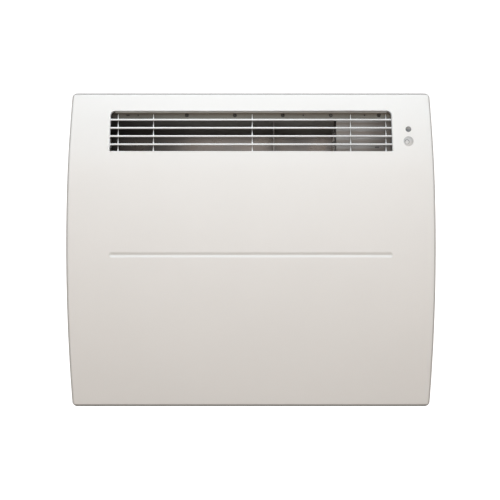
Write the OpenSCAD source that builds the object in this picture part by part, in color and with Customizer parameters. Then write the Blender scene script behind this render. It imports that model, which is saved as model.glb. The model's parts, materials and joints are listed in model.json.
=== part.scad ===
// Wall-hung convector panel heater, in millimetres.
// The wall is the plane y = 0 and the front faces -Y. +Z is up and +X is right, seen from the front.
// The origin lies on the wall, amid the four wall screws, at half the heater's height.

/* [Body] */
// Width across the bowed sides
body_w = 530; // [510:5:700]
// Height
body_h = 450; // [440:5:520]
// Depth from the wall to the furthest point of the front
body_d = 98; // [97:1:112]
// Bow of each side beyond its corners
side_bow = 8.5; // [4:0.5:12]
// Radius of the corners, seen from the front
corner_r = 7; // [6:0.5:12]
// Radius of the folds round the front
fold_r = 4; // [2:0.5:5]
// Drop of the front's bottom edge behind its furthest point
crown = 9; // [4:1:12]
// Backward tilt of the band above the crease, in degrees
top_tilt = 5.5; // [3:0.5:6.5]
// Height of the tilted band
band_h = 85; // [82:1:95]
// Height of the soft crease below the band
crease_h = 34; // [20:1:50]
// Sheet thickness of the front cover
cover_t = 1; // [0.8:0.1:1.5]
// Width of the flange folded in behind the cover
flange_w = 12; // [11:0.5:15]

/* [Groove] */
// Distance from the widest side to the groove's end
groove_side = 61.8; // [50:0.2:110]
// Height of the groove
groove_h = 6.5; // [4:0.5:9]
// Depth of the groove
groove_d = 1.5; // [0.8:0.1:2.5]
// Height of the groove's middle above the heater's middle
groove_z = -7; // [-40:1:40]

/* [Outlet] */
// Distance from the widest side to the outlet's upper corner
outlet_side = 62.6; // [60:0.2:66]
// Widening of the outlet down to its bottom
outlet_flare = 2.5; // [0:0.5:6]
// Height of the outlet
outlet_h = 60; // [54:1:62]
// Distance from the top edge down to the outlet
outlet_drop = 24.7; // [22:0.1:28]
// Radius of the outlet's upper corners
outlet_r = 7; // [3:0.5:12]
// Number of slats
slat_n = 4; // [2:1:5]
// Distance from one slat to the next
slat_pitch = 11.9; // [10:0.1:13]
// Thickness of a slat
slat_t = 2.4; // [1.5:0.1:4]
// Depth of a slat
slat_d = 8; // [6:0.5:12]
// How far a slat's nose lies behind the front
slat_recess = 1.5; // [0.5:0.1:3]
// Distance from the outlet's top to the middle of the first slat
slat_first = 13.2; // [12:0.1:17]
// Thickness of an upright behind the slats
upright_t = 2; // [1:0.1:3]
// Distance from the outlet's side to the outer uprights
upright_outer_in = 10; // [6:0.1:20]
// Distance from the outlet's side to the inner uprights
upright_inner_in = 60.8; // [40:0.1:90]
// Shift of all uprights to the right
upright_shift = 1.5; // [0:0.5:2]
// Wall of the grille's surround
surround_t = 0.8; // [0.6:0.1:1.5]
// Reach of the surround's flange behind the cover
surround_flange = 5; // [3:0.5:7]

/* [Sensors] */
// Distance from the outlet's side to the sensors' middle line
sensor_dx = 23.3; // [22:0.1:27]
// Distance from the outlet's top down to the indicator window
indicator_drop = 27.4; // [24:0.1:32]
// Diameter of the indicator window
indicator_dia = 8; // [5:0.5:10]
// Distance from the indicator window down to the lens
lens_drop = 17.4; // [15:0.1:20]
// Diameter of the presence lens
lens_dia = 14; // [10:0.5:16]
// Rise of the lens out of the front
lens_rise = 2.6; // [1:0.2:3]
// Wall of the lens
lens_t = 0.8; // [0.5:0.1:1.2]

/* [Rear casing] */
// Gap from the wall to the rear casing
wall_gap = 20; // [20:0.5:22]
// Sheet thickness of the rear casing
rear_t = 0.8; // [0.6:0.1:1.2]
// Distance from the outline in to the rear casing's edge
rear_inset = 2; // [1:0.5:4]
// Depth of the rear casing's rim
rim_h = 22; // [12:1:24]

/* [Air path] */
// Least distance from the widest side to the inlet slots
inlet_side = 50; // [40:1:90]
// Distance from one inlet slot to the next
inlet_pitch = 24; // [22:0.5:25]
// Length of an inlet slot
inlet_l = 17; // [8:1:18]
// Width of an inlet slot
inlet_w = 6; // [5:0.5:8]
// Sheet thickness of the inner sheets
inner_t = 0.8; // [0.6:0.1:1.2]
// Distance from the rear casing forward to the heat reflector
reflector_gap = 10.4; // [9:0.2:12]
// Reach of the heat reflector beyond the element's brackets
reflector_margin = 5; // [3:1:10]
// Height of the heat reflector's lower edge above the cover's bottom
reflector_rise = 62; // [58:1:75]
// Height of the reflector's upper edge below the top
reflector_drop = 108; // [100:1:115]
// Distance from the front's furthest point back to the top rail
rail_back = 20; // [18:0.5:22]
// Height of the top rail's upright leg
rail_h = 9.5; // [7:0.5:16]
// Reach of the rail's sloping lip towards the front
rail_lip_d = 4; // [3:0.5:7]
// Rise of the rail's sloping lip
rail_lip_h = 1.3; // [1:0.1:5]
// Diameter of the large holes in the rail
rail_hole_dia = 5.6; // [3:0.1:6.4]
// Distance from one rail hole to the next
rail_hole_pitch = 69.2; // [50:0.2:80]

/* [Heating element] */
// Distance from the widest side to the finned body's end
element_side = 79; // [76:1:110]
// Height of the element's middle above the bottom
element_rise = 133; // [128:1:160]
// Distance from the front's furthest point to the element's middle
element_back = 41; // [39:0.5:43]
// Diameter of the core
core_dia = 15; // [12:0.5:18]
// Number of fins
fin_n = 48; // [20:1:52]
// Thickness of a fin
fin_t = 1.2; // [0.8:0.1:1.6]
// Depth of a fin from front to back
fin_d = 42; // [30:1:44]
// Height of a fin
fin_h = 36; // [24:1:44]
// Corner radius of a fin
fin_r = 8; // [3:0.5:10]
// Diameter of the end pins
pin_dia = 6.5; // [5:0.5:8]
// Outer diameter of the ceramic bushes
bush_dia = 13; // [11:0.5:15]
// Length of a ceramic bush
bush_l = 14; // [10:1:16]
// Gap from the finned body to its brackets
bracket_gap = 6; // [4:1:8]

/* [Controls] */
// Overlap of the control housing behind the outlet's right end
housing_in = 79.4; // [76:0.2:84]
// Width of the control housing
housing_w = 112; // [108:1:114]
// Height of the control housing
housing_h = 81.5; // [74:0.5:84]
// Wall of the control housing
housing_t = 2; // [1.5:0.1:3]
// Distance from the rear casing to the control housing
housing_gap = 12.4; // [11:0.2:14]
// Length of the control bezel
bezel_l = 98; // [94:1:100]
// Depth of the control bezel
bezel_w = 34; // [30:1:36]
// Reach of the bezel's flange under the top face
bezel_flange = 2.5; // [1.5:0.5:4]
// Diameter of a key
key_dia = 10; // [8:0.5:11]
// Distance from one key to the next
key_pitch = 14; // [13:0.5:14.5]
// Travel of a key
key_travel = 0.8; // [0.4:0.1:1]
// Length of the display window
window_l = 34; // [28:1:38]
// Depth of the display window
window_w = 20; // [14:1:24]
// Thickness of the display window
window_t = 1.2; // [0.8:0.1:1.5]

/* [Switch and gland] */
// Distance from the widest side to the mains switch
switch_in = 43; // [38:1:48]
// Height of the mains switch above the bottom
switch_rise = 85; // [76:1:95]
// Length of the rocker
rocker_l = 17; // [14:0.5:20]
// Width of the rocker
rocker_w = 9; // [7:0.5:12]
// Tilt of the rocker to each side, in degrees
rocker_tilt = 9; // [5:0.5:10]
// Diameter of the rocker's pivots
pivot_dia = 2.4; // [2:0.1:3]
// Distance from the widest side to the cable gland
gland_in = 65; // [58:1:75]
// Height of the cable gland above the bottom
gland_rise = 43; // [38:1:46]
// Bore of the cable gland
gland_bore = 7.2; // [6:0.1:9]
// Length of the cable gland
gland_l = 14; // [10:0.5:18]

/* [Wall bracket] */
// Distance between the wall screws, both ways
screw_pitch = 200; // [160:5:240]
// Diameter of the wall screw slots
wall_slot_dia = 5.5; // [4.5:0.5:7]
// Length of the wall screw slots
wall_slot_l = 12; // [9:0.5:16]
// Width of a bracket leg
leg_w = 40; // [32:1:48]
// Sheet thickness of the bracket
bracket_t = 1.5; // [1.2:0.1:2]
// Distance from the heater's top down to the bracket's top
bracket_drop = 30; // [28:1:36]
// Distance from the heater's bottom up to the bracket's bottom
bracket_rise = 90; // [80:1:100]
// Height of the cross bars
bar_h = 35; // [28:1:45]
// Height of the lock tabs
tab_h = 35; // [32:1:38]
// Width of the lower hooks
hook_w = 30; // [20:1:36]
// Height of the lip on a lower hook
lip_h = 12; // [8:1:14]
// Diameter of the lock shafts
lock_dia = 7; // [6:0.5:8]
// Length of the lock's cross bar
lock_bar_l = 22; // [18:1:26]
// Width of the lock's cross bar
lock_bar_w = 6; // [5:0.5:7]
// Diameter of the lock's knob
lock_knob_dia = 18; // [15:1:22]

/* [Fixings and wires] */
// Diameter of the cover screws
cover_screw_dia = 3.5; // [3:0.5:4]
// Head diameter of the cover screws
cover_head_dia = 7; // [6:0.5:8]
// Diameter of the small inner screws
inner_screw_dia = 3; // [2.5:0.5:3.5]
// Diameter of the inner wires
wire_dia = 2.6; // [2:0.2:3.2]

/* [Fits] */
// Clearance round a turning or sliding shaft
run_fit = 0.06; // [0.03:0.01:0.1]
// Clearance between still parts that go into each other
still_fit = 0.3; // [0.15:0.05:0.5]

/* [Hidden] */
$fn = 48;

eps = 0.01;
far = 40;

// Rows and steps of the cover's outline
lower_rows = 12;
crease_rows = 5;
band_rows = 4;
corner_steps = 4;
fold_steps = 5;
least_corner_r = 1;

// Radii that follow from the bow and the crown
bow_r = (pow(body_h/2, 2) + pow(side_bow, 2)) / (2*side_bow);
crease_hi = body_h/2 - band_h;
crease_lo = crease_hi - crease_h;
front_r = pow(body_h/2 + crease_lo, 2) / (2*crown);
band_slope = tan(top_tilt);

// How far the side lies inside the full width at a height
function sag(z) = bow_r - sqrt(bow_r*bow_r - z*z);

// How far the front lies behind its furthest point at a height
function drop(z) =
    z < crease_lo ? pow(crease_lo - z, 2) / (2*front_r)
    : z < crease_hi ? band_slope*pow(z - crease_lo, 2) / (2*crease_h)
    : band_slope*(crease_h/2 + z - crease_hi);
function skin_y(z) = -body_d + drop(z);

// Heights of the outline's rows between its corners
function side_rows(zt) = concat(
    [for (i = [1:lower_rows]) -zt + (crease_lo + zt)*i/lower_rows],
    [for (i = [1:crease_rows]) crease_lo + crease_h*i/crease_rows],
    [for (i = [1:band_rows - 1]) crease_hi + (zt - crease_hi)*i/band_rows]);

// The right half of the outline, from the bottom up, drawn in by ins
function right_edge(ins) =
    let (r = max(corner_r - ins, least_corner_r),
         zc = body_h/2 - ins - r,
         lean = asin(zc/bow_r),
         zt = zc + r*sin(lean),
         xc = body_w/2 - ins - sag(zt) - r*cos(lean))
    concat(
        [for (i = [0:corner_steps]) let (a = -90 + (90 - lean)*i/corner_steps)
            [xc + r*cos(a), -zc + r*sin(a)]],
        [for (z = side_rows(zt)) [body_w/2 - ins - sag(z), z]],
        [for (i = [0:corner_steps]) let (a = lean + (90 - lean)*i/corner_steps)
            [xc + r*cos(a), zc + r*sin(a)]]);

// The whole outline seen from the front, anticlockwise
function outline(ins) =
    let (e = right_edge(ins), n = len(e))
    concat(e, [for (i = [n - 1:-1:0]) [-e[i][0], e[i][1]]]);

// A ring of the cover: the outline drawn in, at a fixed depth or following the front
function flat_ring(ins, y) = [for (p = outline(ins)) [p[0], y, p[1]]];
function front_ring(ins, back) = [for (p = outline(ins)) [p[0], skin_y(p[1]) + back, p[1]]];

// Depths that the sheets and the gap to the wall give
rear_y = -wall_gap;
cover_back = rear_y - rear_t;
inner_r = fold_r - cover_t;
top_z = body_h/2;
rows = 2*(corner_steps + 1) + lower_rows + crease_rows + band_rows - 1;

// The outlet's place on the tilted band
outlet_top = top_z - outlet_drop;
outlet_z = outlet_top - outlet_h/2;
outlet_w = body_w - 2*outlet_side;
sensor_x = outlet_w/2 + sensor_dx;
indicator_z = outlet_top - indicator_drop;
lens_z = indicator_z - lens_drop;

// The reflector, the rail and the deflector
reflector_y = cover_back - reflector_gap;
reflector_lo = -top_z + reflector_rise;
reflector_hi = top_z - reflector_drop;
rail_y = -body_d + rail_back;
rail_top = outlet_top - surround_t - 2*still_fit - rail_lip_h;

// The element's place
element_y = -body_d + element_back;
element_z = -top_z + element_rise;
element_l = body_w - 2*element_side;
bracket_x = element_l/2 + bracket_gap;
bracket_foot_w = 18;
bracket_plate = 1.2;
reflector_w = 2*(bracket_x + bracket_foot_w + reflector_margin);
bush_flange = 3;
bush_flange_t = 2;

// The control housing's place, under the top face
under_top = top_z - cover_t;
housing_x = outlet_w/2 - housing_in;
bezel_flange_t = 1.6;
housing_top = under_top - bezel_flange_t;
housing_y = cover_back - housing_gap;
housing_mid_x = housing_x + housing_w/2;
bezel_y = (rail_y + housing_y)/2;
housing_d = 2*(housing_y - bezel_y);
housing_lo = housing_top - housing_h;
key_margin = 2;
window_margin = 5;
window_x = housing_mid_x - bezel_l/2 + window_margin + window_l/2;
key_x0 = window_x + window_l/2 + key_margin + key_dia/2;

// The bracket's places
bracket_top = top_z - bracket_drop;
bracket_foot = top_z - bracket_rise;
leg_x = screw_pitch/2;
tab_lo = bracket_top - tab_h;
lock_z = bracket_top - tab_h/2;
hook_z = -bracket_foot + 5;

// Draws a plane figure of x and z as a slab from y towards the room
module slab(y, depth) translate([0, y, 0]) rotate([90, 0, 0]) linear_extrude(height = depth) children();

// Draws a plane figure of y and z as a bar along x
module bar(x, length) translate([x, 0, 0]) rotate([90, 0, 90]) linear_extrude(height = length) children();

// A round rod along y, from y towards the room
module rod_y(x, y, z, length, dia) translate([x, y, z]) rotate([90, 0, 0]) cylinder(h = length, d = dia);

// A round rod along x
module rod_x(x, y, z, length, dia) translate([x, y, z]) rotate([0, 90, 0]) cylinder(h = length, d = dia);

// A block given by its low corner and its size
module block(low, size) translate(low) cube(size);

// Moves to the outlet's middle on the tilted band, y inwards from the front
module at_band(x, z) translate([x, skin_y(z), z]) rotate([-top_tilt, 0, 0]) children();

// A rounded rectangle about the middle
module round_rect(w, h, r) {
    square([w - 2*r, h], center = true);
    square([w, h - 2*r], center = true);
    for (i = [-1, 1], j = [-1, 1]) translate([i*(w/2 - r), j*(h/2 - r)]) circle(r);
}

// A long hole along x
module long_hole(l, d) {
    square([l - d, d], center = true);
    for (i = [-1, 1]) translate([i*(l - d)/2, 0]) circle(d = d);
}

// The outlet's figure, drawn in by ins: upper corners round, lower corners square
module outlet_figure(ins) {
    top = outlet_h/2 - ins;
    half = outlet_w/2 - ins;
    r = outlet_r - min(ins, 0)/2;
    polygon([[-half - outlet_flare/2, -top], [half + outlet_flare/2, -top],
             [half, top - r], [-half, top - r]]);
    square([2*half - 2*r, 2*top], center = true);
    for (i = [-1, 1]) translate([i*(half - r), top - r]) circle(r);
}

// Places of the screws that hold the rear casing to the cover
cover_screw_in = 6.5;
cover_screw_side = 115;
cover_screw_drop = 105;
cover_screw_x = body_w/2 - cover_screw_side;
cover_screw_z = top_z - cover_screw_drop;
cover_screw_spots = concat(
    [for (i = [-1, 1], j = [-1, 1]) [i*cover_screw_x, j*(top_z - cover_screw_in)]],
    [for (i = [-1, 1], j = [-1, 1])
        [i*(body_w/2 - sag(cover_screw_z) - cover_screw_in), j*cover_screw_z]]);

module cover_shell() {
    fold = [for (k = [0:fold_steps]) 90*k/fold_steps];
    rings = concat(
        [for (k = [fold_steps:-1:0])
            front_ring(cover_t + inner_r*(1 - cos(fold[k])), cover_t + inner_r*(1 - sin(fold[k])))],
        [flat_ring(cover_t, cover_back - cover_t), flat_ring(flange_w, cover_back - cover_t),
         flat_ring(flange_w, cover_back), flat_ring(0, cover_back)],
        [for (k = [0:fold_steps]) front_ring(fold_r*(1 - cos(fold[k])), fold_r*(1 - sin(fold[k])))]);
    n = 2*rows;
    last = (len(rings) - 1)*n;
    points = [for (ring = rings) each ring];
    wall_faces = [for (k = [0:len(rings) - 2], j = [0:n - 1], side = [0, 1])
        let (a = k*n + j, b = k*n + (j + 1) % n, c = b + n, d = a + n)
        side == 0 ? [a, d, c] : [a, c, b]];
    inner_faces = [for (i = [0:rows - 2]) [i, i + 1, n - 2 - i, n - 1 - i]];
    outer_faces = [for (i = [0:rows - 2]) [last + i, last + n - 1 - i, last + n - 2 - i, last + i + 1]];
    polyhedron(points, concat(wall_faces, inner_faces, outer_faces), convexity = 6);
}

module groove_rod(r) {
    straight = body_w - 2*groove_side - groove_h;
    rod_x(-straight/2, 0, 0, straight, 2*r);
    for (i = [-1, 1]) translate([i*straight/2, 0, 0]) sphere(r);
}

module front_cover() color("whitesmoke") {
    inlet_n = floor((body_w - 2*inlet_side - inlet_l)/inlet_pitch) + 1;
    groove_r = (pow(groove_h/2, 2) + pow(groove_d, 2)) / (2*groove_d);
    groove_y = skin_y(groove_z) + groove_d - groove_r;
    difference() {
        union() {
            cover_shell();
            intersection() {
                translate([0, groove_y, groove_z]) groove_rod(groove_r + cover_t);
                block([-body_w/2, skin_y(groove_z) + cover_t/2, groove_z - groove_h],
                      [body_w, 2*groove_d + cover_t, 2*groove_h]);
            }
        }
        translate([0, groove_y, groove_z]) groove_rod(groove_r);
        at_band(0, outlet_z) slab(far/4, far/2) outlet_figure(0);
        at_band(sensor_x, indicator_z) rod_y(0, far/4, 0, far/2, indicator_dia + 2*still_fit);
        at_band(sensor_x, lens_z) rod_y(0, far/4, 0, far/2, lens_dia + 2*still_fit);
        translate([housing_mid_x, bezel_y, top_z - fold_r]) linear_extrude(height = 2*fold_r)
            round_rect(bezel_l + 2*still_fit, bezel_w + 2*still_fit, 3);
        for (i = [0:inlet_n - 1], row = [-1, 1])
            translate([(i - (inlet_n - 1)/2)*inlet_pitch, bezel_y + row*inlet_w*1.2, -top_z - fold_r])
                linear_extrude(height = 2*fold_r) long_hole(inlet_l, inlet_w);
        for (s = cover_screw_spots)
            rod_y(s[0], rear_y, s[1], 2*cover_t + rear_t, cover_screw_dia + 2*run_fit);
    }
}

module outlet_grille() color("white") {
    outer = outlet_w/2 - upright_outer_in;
    inner = outlet_w/2 - upright_inner_in;
    at_band(0, outlet_z) {
        difference() {
            union() {
                slab(slat_recess + slat_d, slat_recess + slat_d - still_fit) outlet_figure(still_fit);
                slab(cover_t + run_fit + surround_t, surround_t) outlet_figure(-surround_flange);
            }
            slab(far, 2*far) outlet_figure(still_fit + surround_t);
        }
        for (i = [0:slat_n - 1]) slat(outlet_h/2 - slat_first - i*slat_pitch);
        for (x = [-outer, -inner, 0, inner, outer]) upright(x + upright_shift);
    }
}

module slat(z) {
    nose = slat_t/2;
    reach = outlet_w/2 - still_fit - surround_t/2;
    translate([0, 0, z]) bar(-reach, 2*reach) {
        translate([slat_recess + nose, 0]) circle(nose);
        polygon([[slat_recess + nose, -nose], [slat_recess + slat_d, -nose/2],
                 [slat_recess + slat_d, nose/2], [slat_recess + nose, nose]]);
    }
}

module upright(x) {
    reach = outlet_h - 4*still_fit - 1.5*surround_t - rail_lip_h;
    block([x - upright_t/2, slat_recess + slat_d/3, still_fit + surround_t/2 - outlet_h/2],
          [upright_t, slat_d*2/3, reach]);
}

module indicator_window() color("dimgray") at_band(sensor_x, indicator_z) {
    rod_y(0, cover_t + 1.2, 0, cover_t + 1.2 + still_fit/2, indicator_dia);
    rod_y(0, cover_t + 1.2, 0, 1.2, indicator_dia + 3);
}

module presence_lens() color("ivory") at_band(sensor_x, lens_z) {
    dome_r = (pow(lens_dia/2, 2) + pow(lens_rise, 2)) / (2*lens_rise);
    rotate([90, 0, 0]) rotate_extrude() difference() {
        union() {
            intersection() {
                translate([0, lens_rise - dome_r]) circle(dome_r, $fn = 96);
                square([lens_dia/2, lens_rise]);
            }
            translate([0, -cover_t - 1]) square([lens_dia/2, cover_t + 1 + eps]);
            translate([0, -cover_t - 1]) square([lens_dia/2 + 1.5, 1]);
        }
        intersection() {
            translate([0, lens_rise - dome_r]) circle(dome_r - lens_t, $fn = 96);
            translate([0, -far]) square([lens_dia/2 - lens_t, 2*far]);
        }
        translate([0, -far]) square([lens_dia/2 - lens_t, far]);
        translate([-far, -far]) square([far, 2*far]);
    }
}

// The sensors' holder and board lie behind the flanges of the two windows
sensor_flange_t = 1.2;
holder_t = 2;
holder_w = 24;
holder_margin = 13.5;
holder_h = lens_drop + 2*holder_margin;
holder_mid_z = (indicator_z + lens_z)/2;
detector_dia = 8;
led_dia = 3;

module at_holder() at_band(sensor_x, holder_mid_z) children();

module sensor_holder() color("lightgray") at_holder() {
    back = cover_t + sensor_flange_t + holder_t;
    rib = 1.3;
    difference() {
        slab(back, holder_t) round_rect(holder_w, holder_h, 3);
        translate([0, back + eps, lens_drop/2]) rod_y(0, 0, 0, far, led_dia + 2*still_fit);
        translate([0, back + eps, -lens_drop/2]) rod_y(0, 0, 0, far, detector_dia + 2*still_fit);
    }
    for (i = [-1, 1])
        block([i*(holder_w - rib)/2 - rib/2, cover_t, 3 - holder_h/2],
              [rib, sensor_flange_t + holder_t/2, holder_h - 6]);
}

module sensor_board() color("seagreen") at_holder() {
    front = cover_t + sensor_flange_t + holder_t;
    board_t = 1.2;
    slab(front + board_t, board_t) round_rect(holder_w - 4, holder_h - 4, 1);
    rod_y(0, front + eps, -lens_drop/2, holder_t + 1.5, detector_dia);
    rod_y(0, front + eps, lens_drop/2, holder_t - still_fit, led_dia);
}

// The rear casing: a back sheet with a rim that sits inside the cover's flange
rim_in = 1.5;
lock_slot_l = lock_bar_l + 2;
lock_slot_w = lock_bar_w + 2.5;
hook_slot_h = lip_h + bracket_t + 2;
switch_w = rocker_w + 5;
switch_l = rocker_l + 6;
gland_wall = 2.4;
gland_flange = 3;
switch_x = body_w/2 - switch_in;
switch_z = -top_z + switch_rise;
gland_x = body_w/2 - gland_in;
gland_z = -top_z + gland_rise;
stud_x = gland_x - 24;
stud_dia = 4;

module rear_casing() color("gainsboro") difference() {
    union() {
        slab(rear_y, rear_t) polygon(outline(rear_inset));
        slab(rear_y, rear_t + rim_h) difference() {
            polygon(outline(flange_w + rim_in));
            polygon(outline(flange_w + rim_in + rear_t));
        }
    }
    for (i = [-1, 1]) {
        block([i*leg_x - hook_w/2 - 1, cover_back - 1, hook_z + bracket_t - hook_slot_h],
              [hook_w + 2, rear_t + 2, hook_slot_h]);
        translate([i*leg_x, 0, lock_z]) slab(rear_y + 1, rear_t + 2) rotate(90)
            long_hole(lock_slot_l, lock_slot_w);
    }
    block([switch_x - switch_w/2 - still_fit, cover_back - 1, switch_z - switch_l/2 - still_fit],
          [switch_w + 2*still_fit, rear_t + 2, switch_l + 2*still_fit]);
    block([housing_x - 1, cover_back - rim_h - 1, top_z - flange_w - rim_in - 2*rear_t],
          [housing_w + 2, housing_y + 1 - cover_back + rim_h + 1, 3*rear_t]);
    rod_y(gland_x, rear_y + 1, gland_z, rear_t + 2, gland_bore + 2*gland_wall + 2*still_fit);
    rod_y(stud_x, rear_y + 1, gland_z, rear_t + 2, stud_dia + 2*run_fit);
    for (s = cover_screw_spots) rod_y(s[0], rear_y + 1, s[1], rear_t + 2, cover_screw_dia + 2*run_fit);
    for (s = control_screw_spots) rod_y(s[0], rear_y + 1, s[1], rear_t + 2, inner_screw_dia + 2*run_fit);
}

module heat_reflector() color("silver") {
    front = reflector_y - inner_t;
    depth = cover_back - front;
    difference() {
        bar(-reflector_w/2, reflector_w) {
            translate([front, reflector_lo]) square([inner_t, reflector_hi - reflector_lo]);
            translate([front, reflector_lo]) square([depth, inner_t]);
            translate([front, reflector_hi - inner_t]) square([depth, inner_t]);
        }
        for (s = element_screw_spots)
            rod_y(s[0], reflector_y + 1, s[1], inner_t + 2, inner_screw_dia + 2*run_fit);
    }
}

// Points of a bent sheet's other face, t to the left of the path
function unit(v) = v / norm(v);
function shifted(path, t) =
    let (n = len(path) - 1)
    [for (i = [0:n])
        let (into = i == 0 ? unit(path[1] - path[0]) : unit(path[i] - path[i - 1]),
             out = i == n ? into : unit(path[i + 1] - path[i]),
             mid = unit(into + out))
        path[i] + [-mid[1], mid[0]]*t/(mid*into)];

module sheet(path, t) {
    other = shifted(path, t);
    polygon(concat(path, [for (i = [len(path) - 1:-1:0]) other[i]]));
}

rail_half = outlet_w/2 + 3;
rail_lo = rail_top - rail_h;
deflector_lap = 12;
deflector_rise = 51;

deflector_path = [
    [reflector_y - inner_t, reflector_hi - deflector_lap],
    [reflector_y - inner_t, reflector_hi + deflector_rise],
    [rail_y + inner_t, rail_lo], [rail_y + inner_t, rail_top]];

module air_deflector() color("darkgray")
    bar(-rail_half, rail_half + housing_x - 3) sheet(deflector_path, inner_t);

// Holes along the rail, from its left end
rail_hole_n = 5;
rail_hole_in = 113;
rail_small_in = [42.5, 280.9, 369.3];
rail_small_dia = 2.5;
rail_slot_in = 28;

module top_rail() color("darkkhaki") difference() {
    hole_z = rail_top - 3.6;
    lip_half = outlet_w/2 - outlet_r;
    union() {
        block([-rail_half, rail_y - inner_t, rail_lo], [2*rail_half, inner_t, rail_h]);
        bar(-lip_half, 2*lip_half)
            sheet([[rail_y, rail_top - 2*inner_t], [rail_y, rail_top],
                   [rail_y - rail_lip_d, rail_top + rail_lip_h - inner_t]], inner_t);
    }
    for (i = [0:rail_hole_n - 1])
        rod_y(-rail_half + rail_hole_in + i*rail_hole_pitch, rail_y + 1, hole_z, inner_t + 2,
              rail_hole_dia);
    for (x = rail_small_in)
        rod_y(-rail_half + x, rail_y + 1, hole_z, inner_t + 2, rail_small_dia);
    translate([-rail_half + rail_slot_in, 0, hole_z]) slab(rail_y + 1, inner_t + 2)
        long_hole(2*rail_small_dia, rail_small_dia);
}

// An upright gusset under the deflector's slope
strut_x = 33;
strut_t = 1.2;
strut_drop = 45;

module deflector_strut() color("darkgray") {
    face = shifted(deflector_path, inner_t);
    foot = face[2] - [0, strut_drop];
    bar(strut_x - strut_t/2, strut_t)
        polygon([face[1], face[2], foot, [face[1][0], foot[1]]]);
}

pin_in = 12;
pin_out = 16;

module finned_element() color("silver") difference() {
    union() {
        rod_x(-element_l/2, element_y, element_z, element_l, core_dia);
        for (i = [0:fin_n - 1])
            translate([0, element_y, element_z])
                bar(-element_l/2 + 4 + i*(element_l - 8 - fin_t)/(fin_n - 1), fin_t)
                    round_rect(fin_d, fin_h, fin_r);
    }
    for (i = [-1, 1])
        rod_x(i*(element_l/2 - pin_in/2) - pin_in/2 - (1 - i)/2, element_y, element_z,
              pin_in + 1, pin_dia + 2*run_fit);
}

module element_pins() color("gray")
    for (i = [-1, 1])
        rod_x(i*(element_l/2 - pin_in) + min(i, 0)*(pin_in + bracket_gap + pin_out), element_y,
              element_z, pin_in + bracket_gap + pin_out, pin_dia);

// A ceramic bush and a bracket, drawn for the right end and mirrored for the left
module at_end(i) mirror([i < 0 ? 1 : 0, 0, 0]) children();

module bush(i) color("ivory") at_end(i) difference() {
    union() {
        rod_x(bracket_x - bush_flange_t, element_y, element_z, bush_flange_t,
              bush_dia + 2*bush_flange);
        rod_x(bracket_x - bush_flange_t, element_y, element_z, bush_l, bush_dia);
    }
    rod_x(bracket_x - far/2, element_y, element_z, far, pin_dia + 2*run_fit);
}

element_screw_dz = 18;
bracket_half_h = 28;
element_screw_spots = [for (i = [-1, 1], j = [-1, 1])
    [i*(bracket_x + bracket_foot_w - 6), element_z + j*element_screw_dz]];

module element_bracket(i) color("silver") at_end(i) {
    rear = reflector_y - inner_t;
    reach = rear - element_y + bush_dia/2 + bush_flange + 2;
    difference() {
        bar(bracket_x, bracket_plate)
            polygon([[rear, element_z - bracket_half_h], [rear, element_z + bracket_half_h],
                     [rear - reach, element_z + bush_dia], [rear - reach, element_z - bush_dia]]);
        rod_x(bracket_x - 1, element_y, element_z, bracket_plate + 2, bush_dia + 2*run_fit);
    }
    difference() {
        block([bracket_x, rear - bracket_plate, element_z - bracket_half_h],
              [bracket_foot_w, bracket_plate, 2*bracket_half_h]);
        for (j = [-1, 1])
            rod_y(bracket_x + bracket_foot_w - 6, rear + 1, element_z + j*element_screw_dz,
                  bracket_plate + 2, inner_screw_dia + 2*run_fit);
    }
}

// A pan-head screw along y: the head in front of y, the shank behind it for a positive length
module screw(x, y, z, dia, head_dia, head_h, shank) {
    side = sign(shank);
    translate([x, y, z]) rotate([-90*side, 0, 0]) {
        cylinder(h = abs(shank), d = dia);
        translate([0, 0, -head_h]) difference() {
            cylinder(h = head_h, d = head_dia);
            translate([0, 0, -eps]) for (a = [0, 90]) rotate(a)
                translate([-head_dia/3, -dia/8, 0]) cube([head_dia*2/3, dia/4, head_h/2]);
        }
    }
}

inner_head_h = 1.6;

module element_screws() color("silver")
    for (s = element_screw_spots)
        screw(s[0], reflector_y - inner_t - bracket_plate, s[1], inner_screw_dia,
              2*inner_screw_dia, inner_head_h, bracket_plate + inner_t + 4);

cutout_x = 60;
cutout_rise = 29;
cutout_z = element_z + fin_h/2 + cutout_rise;
cutout_dia = 16;
cutout_t = 7;
tab_l = 7;
tab_w = 4.8;
tab_t = 0.8;

module thermal_cutout() color("saddlebrown") {
    rear = reflector_y - inner_t;
    rod_y(cutout_x, rear, cutout_z, cutout_t, cutout_dia);
    translate([cutout_x, 0, cutout_z]) slab(rear, 1) rotate(90) long_hole(cutout_dia + 14, 7);
    for (i = [-1, 1])
        block([cutout_x + i*(cutout_dia + tab_l)/2 - (tab_l + 2)/2, rear - cutout_t + 1, cutout_z - tab_w/2],
              [tab_l + 2, tab_t, tab_w]);
}

control_leg = 20;
control_screw_in = 14;
control_screw_spots = [for (i = [-1, 1])
    [housing_mid_x + i*(housing_w/2 - control_screw_in), housing_lo - control_leg/2 - inner_t]];
port_dia = 12;
port_off = 30;
port_step = 14;
port_x = [for (x = [-port_off, port_off, port_off + port_step]) housing_mid_x + x];

module ports(z) for (x = port_x) translate([x, bezel_y, z]) cylinder(h = 4*housing_t, d = port_dia);

module control_bracket() color("silver") difference() {
    union() {
        block([housing_x, rail_y, housing_lo - inner_t], [housing_w, cover_back - rail_y, inner_t]);
        block([housing_x, cover_back - inner_t, housing_lo - inner_t - control_leg],
              [housing_w, inner_t, control_leg + inner_t]);
    }
    ports(housing_lo - 2*housing_t);
    for (s = control_screw_spots)
        rod_y(s[0], cover_back + 1, s[1], inner_t + 2, inner_screw_dia + 2*run_fit);
}

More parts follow.
